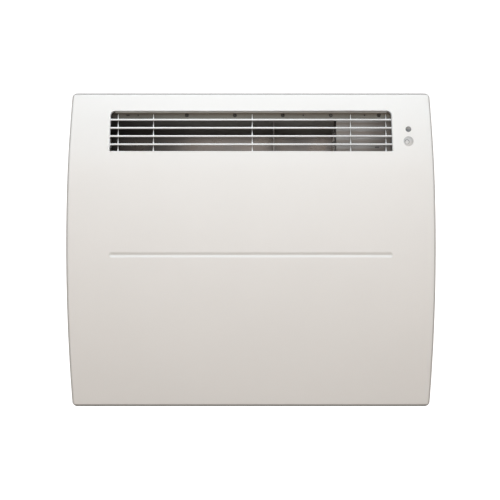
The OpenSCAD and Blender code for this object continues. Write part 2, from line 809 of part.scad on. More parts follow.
module control_screws() color("silver")
    for (s = control_screw_spots)
        screw(s[0], cover_back - inner_t, s[1], inner_screw_dia, 2*inner_screw_dia, inner_head_h,
              inner_t + rear_t + 2);

// Boards in the control housing
board_t = 1.6;
keypad_drop = 6;
keypad_top = housing_top - keypad_drop;
post_w = 5;

module control_housing() color("lightgray") {
    inner_d = housing_d - 2*housing_t;
    inner_w = housing_w - 2*housing_t;
    difference() {
        block([housing_x, housing_y - housing_d, housing_lo], [housing_w, housing_d, housing_h]);
        block([housing_x + housing_t, housing_y - housing_t - inner_d, housing_lo + housing_t],
              [inner_w, inner_d, housing_h]);
        ports(housing_lo - housing_t);
    }
    for (i = [-1, 1], j = [-1, 1])
        translate([housing_mid_x + i*(inner_w - post_w)/2, bezel_y + j*(inner_d - post_w)/2,
                   housing_lo + housing_t/2])
            linear_extrude(height = keypad_top - board_t - housing_lo - housing_t/2)
                square(post_w + 2*eps, center = true);
}

window_view = 2;
key_spots = [for (i = [0:3]) key_x0 + i*key_pitch];
key_flange = 1;

module control_bezel() color("white") difference() {
    translate([housing_mid_x, bezel_y, 0]) {
        translate([0, 0, housing_top]) linear_extrude(height = top_z - housing_top)
            round_rect(bezel_l, bezel_w, 3);
        translate([0, 0, housing_top]) linear_extrude(height = bezel_flange_t)
            round_rect(bezel_l + 4*bezel_flange, bezel_w + 4*bezel_flange, 3);
    }
    translate([window_x, bezel_y, 0]) {
        translate([0, 0, top_z - window_t]) linear_extrude(height = 2*window_t)
            round_rect(window_l + still_fit, window_w + still_fit, 2);
        translate([0, 0, housing_top - 1]) linear_extrude(height = 2*window_t + 2)
            round_rect(window_l - 2*window_view, window_w - 2*window_view, 2);
    }
    for (x = key_spots) translate([x, bezel_y, housing_top - 1])
        cylinder(h = top_z - housing_top + 2, d = key_dia + 2*run_fit);
}

module display_window() color("black") translate([window_x, bezel_y, top_z - window_t])
    linear_extrude(height = window_t) round_rect(window_l, window_w, 2);

module display_module() color("dimgray")
    translate([window_x, bezel_y, keypad_top])
        linear_extrude(height = keypad_drop)
            square([window_l - 2*window_view, window_w - 2*window_view], center = true);

module keypad_board() color("seagreen") translate([housing_mid_x, bezel_y, keypad_top - board_t])
    linear_extrude(height = board_t)
        square([housing_w - 2*housing_t - 1, housing_d - 2*housing_t - 1], center = true);

switch_body = 6;
switch_body_h = 3.3;

module key_switches() color("darkslategray") for (x = key_spots) translate([x, bezel_y, keypad_top])
    linear_extrude(height = switch_body_h) square(switch_body, center = true);

module key(i) color("white") translate([key_spots[i], bezel_y, 0]) {
    stem_end = keypad_top + switch_body_h + key_travel + 0.1;
    translate([0, 0, housing_top - key_flange]) cylinder(h = top_z - housing_top + key_flange, d = key_dia);
    translate([0, 0, housing_top - key_flange]) cylinder(h = key_flange, d = key_dia + 2);
    translate([0, 0, stem_end]) cylinder(h = housing_top - stem_end, d = switch_body - 2);
}
module key_minus() key(0);
module key_plus() key(1);
module key_mode() key(2);
module key_confirm() key(3);

power_y = housing_y - housing_t - 6;
power_h = housing_h - housing_t - keypad_drop - board_t - 12;
power_front = power_y - board_t;

module power_board() color("seagreen")
    block([housing_x + housing_t + post_w + 2, power_front, housing_lo + housing_t],
          [housing_w - 2*(housing_t + post_w + 2), board_t, power_h]);

relay_size = [19, 15, 20];
relay_off = 36;
relay_rise = 22;

module relay() color("royalblue")
    block([housing_mid_x - relay_off, power_front - relay_size[1],
           housing_lo + housing_t + relay_rise], relay_size);

terminal_size = [26, 13, 14];
terminal_off = 8;
terminal_rise = 8;
pole_dia = 4;
pole_in = 5;
pole_step = 8;

module terminal_block() color("gray") difference() {
    low = housing_lo + housing_t + terminal_rise;
    block([housing_mid_x - terminal_off, power_front - terminal_size[1], low], terminal_size);
    for (i = [0:2])
        rod_y(housing_mid_x - terminal_off + pole_in + i*pole_step, power_front - pole_dia,
              low + pole_in, far, pole_dia);
}

// The mains switch: the rocker turns about an axis along x, just inside the rear casing
pivot_y = rear_y - 1.5;
switch_flange = 1.5;
switch_flange_t = 1.6;
switch_d = 16;
rocker_rise = 3;
rocker_gap = 1.2;

module mains_switch() color("dimgray") difference() {
    union() {
        block([switch_x - switch_w/2, rear_y - switch_d, switch_z - switch_l/2],
              [switch_w, switch_d + eps, switch_l]);
        block([switch_x - switch_w/2 - switch_flange, rear_y, switch_z - switch_l/2 - switch_flange],
              [switch_w + 2*switch_flange, switch_flange_t, switch_l + 2*switch_flange]);
    }
    block([switch_x - rocker_w/2 - still_fit, rear_y - 8, switch_z - rocker_l/2 - rocker_gap],
          [rocker_w + 2*still_fit, far, rocker_l + 2*rocker_gap]);
    rod_x(switch_x - switch_w/2 - 1, pivot_y, switch_z, switch_w + 2, pivot_dia + 2*run_fit);
}

module mains_rocker() color("black") translate([0, pivot_y, switch_z]) {
    half = rocker_l/2;
    lift = rocker_rise + half*tan(rocker_tilt);
    rotate([-rocker_tilt, 0, 0]) bar(switch_x - rocker_w/2, rocker_w)
        polygon([[rocker_rise, 0], [lift, half], [-1, half], [-4, half/2], [-4, -half/2], [-1, -half],
                 [lift, -half]]);
    rod_x(switch_x - switch_w/2 + 0.5, 0, 0, switch_w - 1, pivot_dia);
}

module cable_gland() color("dimgray") difference() {
    body_dia = gland_bore + 2*gland_wall;
    union() {
        rod_y(gland_x, rear_y + 2, gland_z, gland_l, body_dia);
        rod_y(gland_x, rear_y + 2, gland_z, 2, body_dia + 2*gland_flange);
        rod_y(gland_x, cover_back, gland_z, 4, body_dia + 2*gland_flange);
    }
    rod_y(gland_x, rear_y + 3, gland_z, gland_l + 2, gland_bore);
}

module earth_stud() color("goldenrod") {
    rod_y(stud_x, rear_y + 2, gland_z, 12, stud_dia);
    rod_y(stud_x, rear_y + 2, gland_z, 2, 2*stud_dia);
    translate([stud_x, cover_back, gland_z]) rotate([90, 0, 0]) cylinder(h = 3, d = 2*stud_dia, $fn = 6);
}

probe_in = 37;
probe_x = body_w/2 - probe_in;
probe_y = element_y;
probe_rise = 25;
probe_z = -top_z + probe_rise;
probe_dia = 5;
probe_l = 16;

module room_probe() color("black") translate([probe_x, probe_y, probe_z - probe_l/2]) {
    cylinder(h = probe_l, d = probe_dia);
}

module probe_clip() color("white") difference() {
    union() {
        block([probe_x - 4, probe_y, probe_z - 1.5], [8, cover_back - probe_y, 3]);
        translate([probe_x, probe_y, probe_z - 4]) cylinder(h = 8, d = probe_dia + 4);
        block([probe_x - 4, cover_back - 1.5, probe_z - 6], [8, 1.5, 12]);
    }
    translate([probe_x, probe_y, probe_z - 5]) cylinder(h = 10, d = probe_dia + 2*run_fit);
}

// A wire swept along its route, with its corners rounded
function smoothed(p) = concat([p[0]],
    [for (i = [0:len(p) - 2]) each [0.75*p[i] + 0.25*p[i + 1], 0.25*p[i] + 0.75*p[i + 1]]],
    [p[len(p) - 1]]);
function heading(p, i) =
    i == 0 ? unit(p[1] - p[0])
    : i == len(p) - 1 ? unit(p[i] - p[i - 1])
    : unit(unit(p[i] - p[i - 1]) + unit(p[i + 1] - p[i]));

wire_sides = 8;

module wire(route) {
    p = smoothed(smoothed(route));
    n = wire_sides;
    across = [0, 1, 0];
    points = [for (i = [0:len(p) - 1])
        let (t = heading(p, i), u = unit(cross(t, across)), v = cross(t, u))
        each [for (k = [0:n - 1]) p[i] + wire_dia/2*(cos(360*k/n)*u + sin(360*k/n)*v)]];
    last = n*(len(p) - 1);
    faces = concat(
        [[for (k = [0:n - 1]) k]],
        [for (i = [0:len(p) - 2], k = [0:n - 1], half = [0, 1])
            let (a = i*n + k, b = i*n + (k + 1) % n)
            half == 0 ? [a, b + n, b] : [a, a + n, b + n]],
        [[for (k = [n - 1:-1:0]) last + k]]);
    polyhedron(points, faces, convexity = 8);
}

// The lanes that the wires follow down the sides and along the reflector
lane_side = 33;
lane_step = 6;
lane_turn = 60;
lead_fall = 20;
pin_end_x = bracket_x + pin_out + still_fit;
wire_top = housing_lo + housing_t + lane_step;
lane_x = body_w/2 - lane_side;
lane_y = reflector_y - inner_t - lane_step;
tab_y = reflector_y - inner_t - cutout_t + 1 + tab_t/2;
tab_end = cutout_dia/2 + tab_l + 1 + still_fit;

module live_lead() color("firebrick")
    wire([[port_x[1], bezel_y, wire_top], [port_x[1], bezel_y, housing_lo - lead_fall],
          [lane_x, bezel_y, housing_lo - lane_turn], [lane_x, bezel_y, 0],
          [lane_x, bezel_y, element_z + lane_turn/2], [lane_x, element_y, element_z],
          [pin_end_x, element_y, element_z]]);

module neutral_lead() color("steelblue")
    wire([[port_x[0], bezel_y, wire_top], [port_x[0], bezel_y, housing_lo - lead_fall],
          [port_x[0] - lane_step, lane_y - lane_step, housing_lo - 1.5*lane_turn],
          [cutout_x + tab_end + lane_turn/2, lane_y, 0],
          [cutout_x + tab_end + 3.5*lane_step, lane_y, cutout_z + lane_step],
          [cutout_x + tab_end + 2.5*lane_step, tab_y, cutout_z], [cutout_x + tab_end, tab_y, cutout_z]]);

module cutout_lead() color("firebrick")
    wire([[cutout_x - tab_end, tab_y, cutout_z], [cutout_x - tab_end - 2*lane_step, tab_y, cutout_z],
          [-body_w/8, lane_y, cutout_z - lane_step], [-body_w/3, lane_y, cutout_z],
          [lane_step - lane_x, lane_y - lane_step, cutout_z - 2*lane_step],
          [-lane_x, element_y, element_z + lane_step], [2*lane_step - lane_x, element_y, element_z],
          [-pin_end_x, element_y, element_z]]);

module switch_lead() color("black")
    wire([[port_x[2], bezel_y, wire_top], [port_x[2], bezel_y, housing_lo - lead_fall],
          [lane_x + lane_step, bezel_y + lane_step, housing_lo - lane_turn],
          [lane_x + lane_step, lane_y - lane_step, 0],
          [lane_x + lane_step, lane_y - lane_step, switch_z + lane_turn],
          [switch_x, lane_y - lane_step, switch_z + 1],
          [switch_x, rear_y - switch_d - still_fit, switch_z]]);

module probe_lead() color("gray") {
    start_x = port_x[2] - 1.5*wire_dia;
    wire([[start_x, bezel_y - 1, wire_top], [start_x, bezel_y - 1, housing_lo - lead_fall],
          [lane_x + 2*lane_step, bezel_y - lane_step, housing_lo - lane_turn],
          [lane_x + 2*lane_step, bezel_y - lane_step, -lane_turn],
          [lane_x + lane_step, bezel_y - lane_step, probe_z + lane_turn],
          [probe_x, probe_y, probe_z + probe_l + lane_step],
          [probe_x, probe_y, probe_z + probe_l/2 + still_fit]]);
}

module wall_bracket() color("gainsboro") {
    difference() {
        union() {
            slab(0, bracket_t) {
                for (i = [-1, 1]) translate([i*leg_x - leg_w/2, -bracket_foot])
                    square([leg_w, bracket_foot + bracket_top]);
                for (z = [-bracket_foot, bracket_top - bar_h]) translate([-leg_x, z])
                    square([2*leg_x, bar_h]);
            }
            for (i = [-1, 1]) {
                block([i*leg_x - leg_w/2, rear_y, tab_lo], [leg_w, wall_gap, bracket_t]);
                block([i*leg_x - leg_w/2, rear_y, tab_lo], [leg_w, bracket_t, tab_h]);
                block([i*leg_x - hook_w/2, hook_end, hook_z], [hook_w, -hook_end, bracket_t]);
                block([i*leg_x - hook_w/2, hook_end, hook_z], [hook_w, bracket_t, bracket_t + lip_h]);
            }
        }
        for (i = [-1, 1]) {
            for (j = [-1, 1]) translate([i*leg_x, 0, j*leg_x]) slab(1, bracket_t + 2)
                long_hole(wall_slot_l, wall_slot_dia);
            rod_y(i*leg_x, rear_y + 2*bracket_t, lock_z, 4*bracket_t, lock_dia + 2*run_fit);
        }
    }
}
lip_gap = 3;
hook_end = cover_back - lip_gap - bracket_t;

lock_knob_t = 5;
lock_bar_t = 3;

module lock(x) color("white") {
    knob_y = rear_y + bracket_t + still_fit;
    bar_y = cover_back - still_fit;
    rod_y(x, knob_y, lock_z, knob_y - bar_y, lock_dia);
    difference() {
        union() {
            rod_y(x, knob_y + lock_knob_t, lock_z, lock_knob_t, lock_knob_dia);
            block([x - 2, knob_y, lock_z], [4, lock_knob_t, lock_knob_dia/2 + 4]);
        }
        block([x - lock_knob_dia/2 + 3, knob_y + lock_knob_t - 1.5, lock_z - 0.6],
              [lock_knob_dia - 6, 3, 1.2]);
    }
    block([x - lock_bar_l/2, bar_y - lock_bar_t, lock_z - lock_bar_w/2],
          [lock_bar_l, lock_bar_t, lock_bar_w]);
}

cover_head_h = 2.2;

module cover_screws() color("silver")
    for (s = cover_screw_spots)
        screw(s[0], rear_y, s[1], cover_screw_dia, cover_head_dia, cover_head_h,
              -(rear_t + cover_t + 5));

front_cover();
outlet_grille();
indicator_window();
presence_lens();
sensor_holder();
sensor_board();
rear_casing();
heat_reflector();
air_deflector();
deflector_strut();
top_rail();
finned_element();
element_pins();
bush(-1);  // bush_left
bush(1);  // bush_right
element_bracket(-1);  // element_bracket_left
element_bracket(1);  // element_bracket_right
thermal_cutout();
control_bracket();
control_housing();
control_bezel();
display_window();
display_module();
keypad_board();
key_switches();
key_minus();
key_plus();
key_mode();
key_confirm();
power_board();
relay();
terminal_block();
mains_switch();
mains_rocker();
cable_gland();
earth_stud();
room_probe();
probe_clip();
live_lead();
neutral_lead();
cutout_lead();
switch_lead();
probe_lead();
wall_bracket();
lock(-leg_x);  // lock_left
lock(leg_x);  // lock_right
cover_screws();
element_screws();
control_screws();
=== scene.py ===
"""A wall-hung convector heater: its enamel, zinc, moulded and wired pieces, and its studio."""

import json
import logging
import math
from dataclasses import dataclass
from enum import Enum
from functools import cache, reduce
from typing import Callable, Iterable, Sequence

import bmesh
import bpy
from mathutils import Matrix, Vector

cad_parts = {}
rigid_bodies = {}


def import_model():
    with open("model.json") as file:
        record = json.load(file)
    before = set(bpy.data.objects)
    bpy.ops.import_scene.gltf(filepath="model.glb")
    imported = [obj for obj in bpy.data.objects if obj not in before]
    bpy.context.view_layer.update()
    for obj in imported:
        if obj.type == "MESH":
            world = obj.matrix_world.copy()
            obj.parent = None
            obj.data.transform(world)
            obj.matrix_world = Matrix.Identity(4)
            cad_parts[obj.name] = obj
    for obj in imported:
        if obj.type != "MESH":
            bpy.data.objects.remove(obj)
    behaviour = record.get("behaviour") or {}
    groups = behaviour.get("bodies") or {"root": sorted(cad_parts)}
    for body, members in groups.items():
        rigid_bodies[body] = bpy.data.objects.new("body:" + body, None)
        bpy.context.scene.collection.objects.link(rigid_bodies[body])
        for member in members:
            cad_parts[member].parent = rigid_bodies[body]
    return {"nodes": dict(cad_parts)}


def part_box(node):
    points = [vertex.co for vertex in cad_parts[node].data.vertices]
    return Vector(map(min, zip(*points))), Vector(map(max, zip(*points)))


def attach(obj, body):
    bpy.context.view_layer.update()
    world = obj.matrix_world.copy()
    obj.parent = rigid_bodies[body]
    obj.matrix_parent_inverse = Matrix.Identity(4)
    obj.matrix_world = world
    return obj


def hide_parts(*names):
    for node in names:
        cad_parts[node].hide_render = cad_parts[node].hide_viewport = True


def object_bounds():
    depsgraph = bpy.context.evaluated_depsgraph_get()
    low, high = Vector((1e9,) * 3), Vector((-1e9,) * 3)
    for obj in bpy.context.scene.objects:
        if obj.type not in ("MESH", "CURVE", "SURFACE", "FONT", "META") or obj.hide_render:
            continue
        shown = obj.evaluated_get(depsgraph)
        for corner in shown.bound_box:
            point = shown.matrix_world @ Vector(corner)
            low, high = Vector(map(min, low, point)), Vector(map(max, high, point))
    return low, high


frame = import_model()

LOG = logging.getLogger("heater")
CAD_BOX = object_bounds()
MM = 0.001
BLACK = (0.0, 0.0, 0.0)
Colour = tuple[float, float, float]
Point2 = tuple[float, float]
Point3 = tuple[float, float, float]
Ring = list[Point3]
# A band of painted shade: the axis, where it is darkest, where it is whole, and the share of colour
# left.
PaintedShade = tuple[str, float, float, float]


def operator(operation: str, swapped: bool = False) -> Callable[["Wire", object], "Wire"]:
    """Makes an arithmetic operator for sockets.

    Args:
        operation: the Math node's operation.
        swapped: whether the socket stands on the right.

    Returns:
        The operator.
    """
    def apply(wire: "Wire", other: object) -> "Wire":
        """Adds the node."""
        pair = (other, wire) if swapped else (wire, other)
        return wire.graph.node("ShaderNodeMath", {"operation": operation}, dict(enumerate(pair)))

    return apply


class Wire:
    """A shader socket that takes part in arithmetic: each operator adds one Math node."""

    __add__, __radd__ = operator("ADD"), operator("ADD", True)
    __sub__, __rsub__ = operator("SUBTRACT"), operator("SUBTRACT", True)
    __mul__, __rmul__ = operator("MULTIPLY"), operator("MULTIPLY", True)

    def __init__(self, graph: "Graph", socket: bpy.types.NodeSocket) -> None:
        """Keeps the graph and the socket."""
        self.graph, self.socket = graph, socket

    def within(self, low: float, high: float) -> "Wire":
        """Stretches low to high over 0 to 1, smoothly."""
        return self.graph.node("ShaderNodeMapRange", {"interpolation_type": "SMOOTHSTEP"},
                               {"Value": self, "From Min": low, "From Max": high})


class Graph:
    """The nodes of one material."""

    def __init__(self, name: str) -> None:
        """Starts a material with one Principled shader.

        Args:
            name: the material's name.
        """
        self.material = bpy.data.materials.new(name)
        self.material.use_nodes = True
        self.tree = self.material.node_tree
        self.shader = next(n for n in self.tree.nodes if n.type == "BSDF_PRINCIPLED")

    def node(self, kind: str, settings: dict, inputs: dict, output: object = 0) -> Wire:
        """Adds a node of any kind.

        Args:
            kind: the node's type.
            settings: its properties, set first.
            inputs: values or links of its sockets, by name or place.
            output: which output to give back.

        Returns:
            That output.
        """
        made = self.tree.nodes.new(kind)
        for key, value in settings.items():
            setattr(made, key, value)
        for key, value in inputs.items():
            self.feed(made.inputs[key], value)
        return Wire(self, made.outputs[output])

    def feed(self, socket: bpy.types.NodeSocket, value: object) -> None:
        """Links or sets a socket.

        Args:
            socket: the input.
            value: a link, a number or a colour.
        """
        if isinstance(value, Wire):
            self.tree.links.new(value.socket, socket)
        elif isinstance(value, tuple) and len(value) == 3 and socket.type == "RGBA":
            socket.default_value = (*value, 1)
        else:
            socket.default_value = value

    def place(self, stretch: Point3 = (1, 1, 1)) -> Wire:
        """Object coordinates in metres, stretched."""
        where = self.node("ShaderNodeTexCoord", {}, {}, "Object")
        return self.node("ShaderNodeMapping", {}, {"Vector": where, "Scale": stretch})

    def along(self, axis: str) -> Wire:
        """Object coordinates along one axis, in metres."""
        return self.node("ShaderNodeSeparateXYZ", {}, {"Vector": self.place()}, axis)

    def noise(self, scale: float, detail: float = 2, stretch: Point3 = (1, 1, 1)) -> Wire:
        """Smooth noise on object coordinates."""
        return self.node("ShaderNodeTexNoise", {},
                         {"Vector": self.place(stretch), "Scale": scale, "Detail": detail}, "Fac")

    def cells(self, scale: float, feature: str = "F1", output: str = "Distance") -> Wire:
        """Voronoi cells on object coordinates."""
        return self.node("ShaderNodeTexVoronoi", {"feature": feature},
                         {"Vector": self.place(), "Scale": scale}, output)

    def blend(self, factor: object, first: object, second: object) -> Wire:
        """Mixes two colours."""
        return self.node("ShaderNodeMix", {"data_type": "RGBA"},
                         {"Factor": factor, 6: first, 7: second}, 2)

    def fade(self, colour: object, painted_shades: Sequence[PaintedShade]) -> object:
        """Darkens a colour along the part's axes: painted shade that stands in for light falling
        off across the part.

        Args:
            colour: the colour.
            painted_shades: for each, the axis, where it is darkest, where it is whole, and the
                share left.

        Returns:
            The faded colour.
        """
        # Each band paints shade: the colour darkens towards one end along an axis.
        for axis, dark, whole, left in painted_shades:
            share = self.along(axis).within(dark, whole) * (1 - left) + left
            colour = self.blend(share, BLACK, colour)
        return colour

    def past_bow(self) -> Wire:
        """How far a place lies outside the cover's bowed sides.

        Returns:
            The distance in metres, less than 0 inside.
        """
        reach = PLAN.bow_radius() * MM
        middle = reach - PLAN.width * MM / 2
        kind = "ShaderNodeVectorMath"
        spot = self.node(kind, {"operation": "ABSOLUTE"}, {0: self.place()})
        spot = self.node(kind, {"operation": "MULTIPLY_ADD"},
                         {0: spot, 1: (1.0, 0.0, 1.0), 2: (middle, 0.0, 0.0)})
        return self.node(kind, {"operation": "LENGTH"}, {0: spot}, "Value") - reach

    def bump(self, height: Wire, depth: float, strength: float = 1.0) -> None:
        """Presses a height into the surface.

        Args:
            height: 0 to 1.
            depth: what 1 means, in metres.
            strength: how much of it shows.
        """
        normal = self.node("ShaderNodeBump", {}, {"Height": height, "Distance": depth,
                                                  "Strength": strength}, "Normal")
        self.feed(self.shader.inputs["Normal"], normal)

    def set(self, **values: object) -> None:
        """Sets or links the shader's sockets; an underscore stands for a space."""
        for key, value in values.items():
            self.feed(self.shader.inputs[key.replace("_", " ")], value)


def shade(colour: Colour, factor: float) -> Colour:
    """A colour made lighter or darker."""
    return tuple(min(1.0, c * factor) for c in colour)


@dataclass(frozen=True)
class Finish:
    """What a piece's surface is made of; each kind wires its own shader."""

    name: str

    @cache
    def material(self) -> bpy.types.Material:
        """Makes the finish's material at its first use.

        Returns:
            The material.
        """
        graph = Graph(self.name)
        self.wire(graph)
        return graph.material

    def wire(self, g: Graph) -> None:
        """Wires the finish into a new material's shader."""
        raise NotImplementedError


@dataclass(frozen=True)
class Enamel(Finish):
    """Sprayed and baked enamel on sheet steel, with a faint orange peel."""

    colour: Colour = (0.84, 0.824, 0.798)
    roughness: float = 0.34
    peel: float = 420.0
    peel_depth: float = 0.00006
    coat: float = 0.25
    # Painted shade: darker lines along the folds, and darker bands along the part's axes.
    fold_shades: tuple[PaintedShade, ...] = ()
    painted_shades: tuple[PaintedShade, ...] = ()

    def wire(self, g: Graph) -> None:
        """Wires drift, dust and peel, with painted shade along each fold and along the part's axes.

        Args:
            g: the new material's nodes.
        """
        drift = g.noise(9, 3)
        dust = g.noise(1800, 2)
        colour = g.blend(drift.within(0.3, 0.7), shade(self.colour, 0.985), self.colour)
        # Painted shade along each fold, where the bend turns away from the light.
        for way, flat, edge, left in self.fold_shades:
            rise = g.past_bow() if way == "side" else g.along(way)
            line = rise.within(flat, (flat + edge) / 2)
            line = line * rise.within(edge, edge + (flat - edge) * 0.04)
            colour = g.blend(line, colour, shade(self.colour, left))
        g.set(Base_Color=g.fade(colour, self.painted_shades),
              Roughness=self.roughness + (drift - 0.5) * 0.05 + (dust - 0.5) * 0.04,
              Coat_Weight=self.coat, Coat_Roughness=0.22, IOR=1.5)
        g.bump(g.noise(self.peel, 2), self.peel_depth, 0.55)


@dataclass(frozen=True)
class Zinc(Finish):
    """Galvanised sheet: pale crystals, faint roller streaks and dull blooms."""

    colour: Colour = (0.60, 0.61, 0.61)
    roughness: float = 0.38
    crystal: float = 95.0
    contrast: float = 0.16
    metallic: float = 0.92
    # Painted shade: darker bands along the part's axes.
    painted_shades: tuple[PaintedShade, ...] = ()

    def wire(self, g: Graph) -> None:
        """Wires crystals, streaks and blooms, and painted shade along the part's axes.

        Args:
            g: the new material's nodes.
        """
        cell = g.cells(self.crystal, output="Color")
        tone = g.node("ShaderNodeSeparateColor", {}, {"Color": cell}, 0)
        streak = g.noise(60, 3, (0.6, 1, 9))
        bloom = g.noise(14, 4).within(0.45, 0.75)
        light = g.blend(tone, shade(self.colour, 1 - self.contrast),
                        shade(self.colour, 1 + self.contrast))
        g.set(Base_Color=g.fade(g.blend(bloom * 0.35, light, shade(self.colour, 0.86)), self.painted_shades),
              Metallic=self.metallic, Roughness=self.roughness + (tone - 0.5) * 0.12 + bloom * 0.14
              + (streak - 0.5) * 0.08)
        border = g.cells(self.crystal, "DISTANCE_TO_EDGE").within(0, 0.12)
        g.bump(border + streak * 0.6, 0.00004, 0.5)


@dataclass(frozen=True)
class BareMetal(Finish):
    """Drawn or turned metal with fine lines along one axis."""

    colour: Colour = (0.70, 0.70, 0.71)
    roughness: float = 0.30
    grain: Point3 = (0.03, 1, 1)
    fine: float = 1600.0
    tint: Colour = (0.62, 0.60, 0.58)

    def wire(self, g: Graph) -> None:
        """Wires fine lines and dull patches.

        Args:
            g: the new material's nodes.
        """
        line = g.noise(self.fine, 3, self.grain)
        patch = g.noise(30, 3).within(0.4, 0.7)
        g.set(Base_Color=g.blend(patch * 0.6, self.colour, self.tint), Metallic=1.0,
              Roughness=self.roughness + (line - 0.5) * 0.22 + patch * 0.06)
        g.bump(line, 0.00003, 0.5)


class Surface(Enum):
    """How a moulded surface is textured."""

    FINE = (2600.0, 0.00005)
    SPARK = (1200.0, 0.00009)
    SMOOTH = (500.0, 0.00001)


@dataclass(frozen=True)
class Moulded(Finish):
    """A moulded plastic with a spark-eroded or polished skin."""

    colour: Colour
    roughness: float = 0.45
    surface: Surface = Surface.FINE
    coat: float = 0.0
    specular: float = 0.5
    # Painted shade: darker bands along the part's axes.
    painted_shades: tuple[PaintedShade, ...] = ()

    def wire(self, g: Graph) -> None:
        """Wires the flow of the plastic and its skin, and painted shade along the part's axes.

        Args:
            g: the new material's nodes.
        """
        scale, depth = self.surface.value
        flow = g.noise(22, 3)
        skin = g.noise(scale, 3)
        tone = g.blend(flow.within(0.3, 0.7), shade(self.colour, 0.94), shade(self.colour, 1.03))
        g.set(Base_Color=g.fade(tone, self.painted_shades),
              Roughness=self.roughness + (flow - 0.5) * 0.08 + (skin - 0.5) * 0.06,
              Coat_Weight=self.coat, Coat_Roughness=0.08, Specular_IOR_Level=self.specular)
        g.bump(skin, depth, 0.6)


@dataclass(frozen=True)
class Ceramic(Finish):
    """Pale unglazed ceramic with dark specks."""

    colour: Colour = (0.80, 0.77, 0.69)

    def wire(self, g: Graph) -> None:
        """Wires specks and a rough skin.

        Args:
            g: the new material's nodes.
        """
        speck = g.noise(2400, 2).within(0.62, 0.72)
        g.set(Base_Color=g.blend(speck, self.colour, shade(self.colour, 0.62)),
              Roughness=0.62 + (g.noise(300) - 0.5) * 0.12)
        g.bump(g.noise(1500, 4), 0.00006, 0.6)


@dataclass(frozen=True)
class Laminate(Finish):
    """A circuit board: green mask over copper tracks, with rows of solder points."""

    colour: Colour = (0.03, 0.17, 0.08)
    copper: Colour = (0.05, 0.25, 0.12)
    solder: Colour = (0.62, 0.62, 0.60)
    pitch: float = 400.0

    def wire(self, g: Graph) -> None:
        """Wires tracks and solder points.

        Args:
            g: the new material's nodes.
        """
        track = g.cells(self.pitch * 0.55, "DISTANCE_TO_EDGE").within(0.09, 0.05)
        point = g.cells(self.pitch).within(0.16, 0.11) * g.noise(55, 1).within(0.52, 0.54)
        mask = g.blend(track, self.colour, self.copper)
        g.set(Base_Color=g.blend(point, mask, self.solder), Metallic=point * 0.8,
              Roughness=0.34 + point * 0.1 + track * 0.06)
        g.bump(track + point * 2, 0.00005, 0.7)


@dataclass(frozen=True)
class Silicone(Finish):
    """A wire's soft sleeve, slightly dusty."""

    colour: Colour

    def wire(self, g: Graph) -> None:
        """Wires dust over a soft sheen.

        Args:
            g: the new material's nodes.
        """
        dust = g.noise(160, 4).within(0.45, 0.8)
        g.set(Base_Color=g.blend(dust * 0.3, self.colour, (0.45, 0.43, 0.40)),
              Roughness=0.5 + dust * 0.2, Sheen_Weight=0.12)
        g.bump(g.noise(900, 3), 0.00005, 0.5)


@dataclass(frozen=True)
class Lens(Finish):
    """Milky translucent plastic that lets a little light through."""

    colour: Colour = (0.90, 0.88, 0.86)
    # Painted shade: the dome darker towards its top.
    painted_shades: tuple[PaintedShade, ...] = (("Z", 0.160, 0.150, 0.66),)

    def wire(self, g: Graph) -> None:
        """Wires a faint cloud and painted shade along the part's axes.

        Args:
            g: the new material's nodes.
        """
        cloud = g.noise(260, 3)
        colour = g.blend(cloud.within(0.3, 0.7), shade(self.colour, 0.95), self.colour)
        g.set(Base_Color=g.fade(colour, self.painted_shades),
              Roughness=0.26 + (cloud - 0.5) * 0.08, Transmission_Weight=0.08, IOR=1.49)
        g.bump(g.noise(1500, 2), 0.00002, 0.4)


def mm_box(node: str) -> tuple[Vector, Vector]:
    """The two corners of a CAD node's box, in millimetres."""
    low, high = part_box(node)
    return Vector(low) / MM, Vector(high) / MM


def centre(node: str) -> Vector:
    """The middle of a CAD node's box, in millimetres."""
    return sum(mm_box(node), Vector()) / 2


def linked(name: str, data: bpy.types.ID) -> bpy.types.Object:
    """Puts a mesh, a light or a camera in the scene as an object.

    Args:
        name: the object's name.
        data: what it shows.

    Returns:
        The object.
    """
    made = bpy.data.objects.new(name, data)
    bpy.context.scene.collection.objects.link(made)
    return made


def screw_spots() -> list[Point2]:
    """Places of the screws that hold the rear casing to the cover.

    Returns:
        Eight points as x and z.
    """
    side_x = PLAN.width / 2 - PLAN.sag(120) - 6.5
    pairs = ((150, 218.5), (side_x, 120))
    return [(i * x, j * z) for x, z in pairs for i in (-1, 1) for j in (-1, 1)]


def arc(angle: float, steps: int) -> list[float]:
    """Angles from 0 to one angle in even steps."""
    return [angle * k / steps for k in range(steps + 1)]


def washer(inner: float, outer: float, low: float, high: float) -> list[Point2]:
    """The profile of a flat ring, for Form.lathe."""
    return [(inner, low), (outer, low), (outer, high), (inner, high), (inner, low)]


def circle(radius: float, steps: int = 48, centre: Point2 = (0, 0)) -> list[Point2]:
    """Points of a circle, anticlockwise."""
    x, y = centre
    return [(x + radius * math.cos(a), y + radius * math.sin(a)) for a in arc(math.tau, steps)[:-1]]


def rounded(width: float, height: float, radius: float, centre: Point2 = (0, 0),
            steps: int = 8) -> list[Point2]:
    """Points of a rounded rectangle, anticlockwise; a radius of half the height gives a long hole.

    Args:
        width: along the first axis.
        height: along the second axis.
        radius: of the corners.
        centre: its middle.
        steps: steps in each corner.

    Returns:
        The points.
    """
    points = []
    for i, j, start in ((1, -1, -90), (1, 1, 0), (-1, 1, 90), (-1, -1, 180)):
        x = centre[0] + i * (width / 2 - radius)
        y = centre[1] + j * (height / 2 - radius)
        turns = [math.radians(start + a) for a in arc(90, steps)]
        points += [(x + radius * math.cos(a), y + radius * math.sin(a)) for a in turns]
    return points


class Axis(Enum):
    """The axis that a figure is drawn out along."""

    X = "x"
    Y = "y"
    Z = "z"

    def lift(self, point: Point2, height: float) -> Point3:
        """Places a figure's point in space."""
        a, b = point
        return {Axis.X: (height, a, b), Axis.Y: (a, height, b), Axis.Z: (a, b, height)}[self]


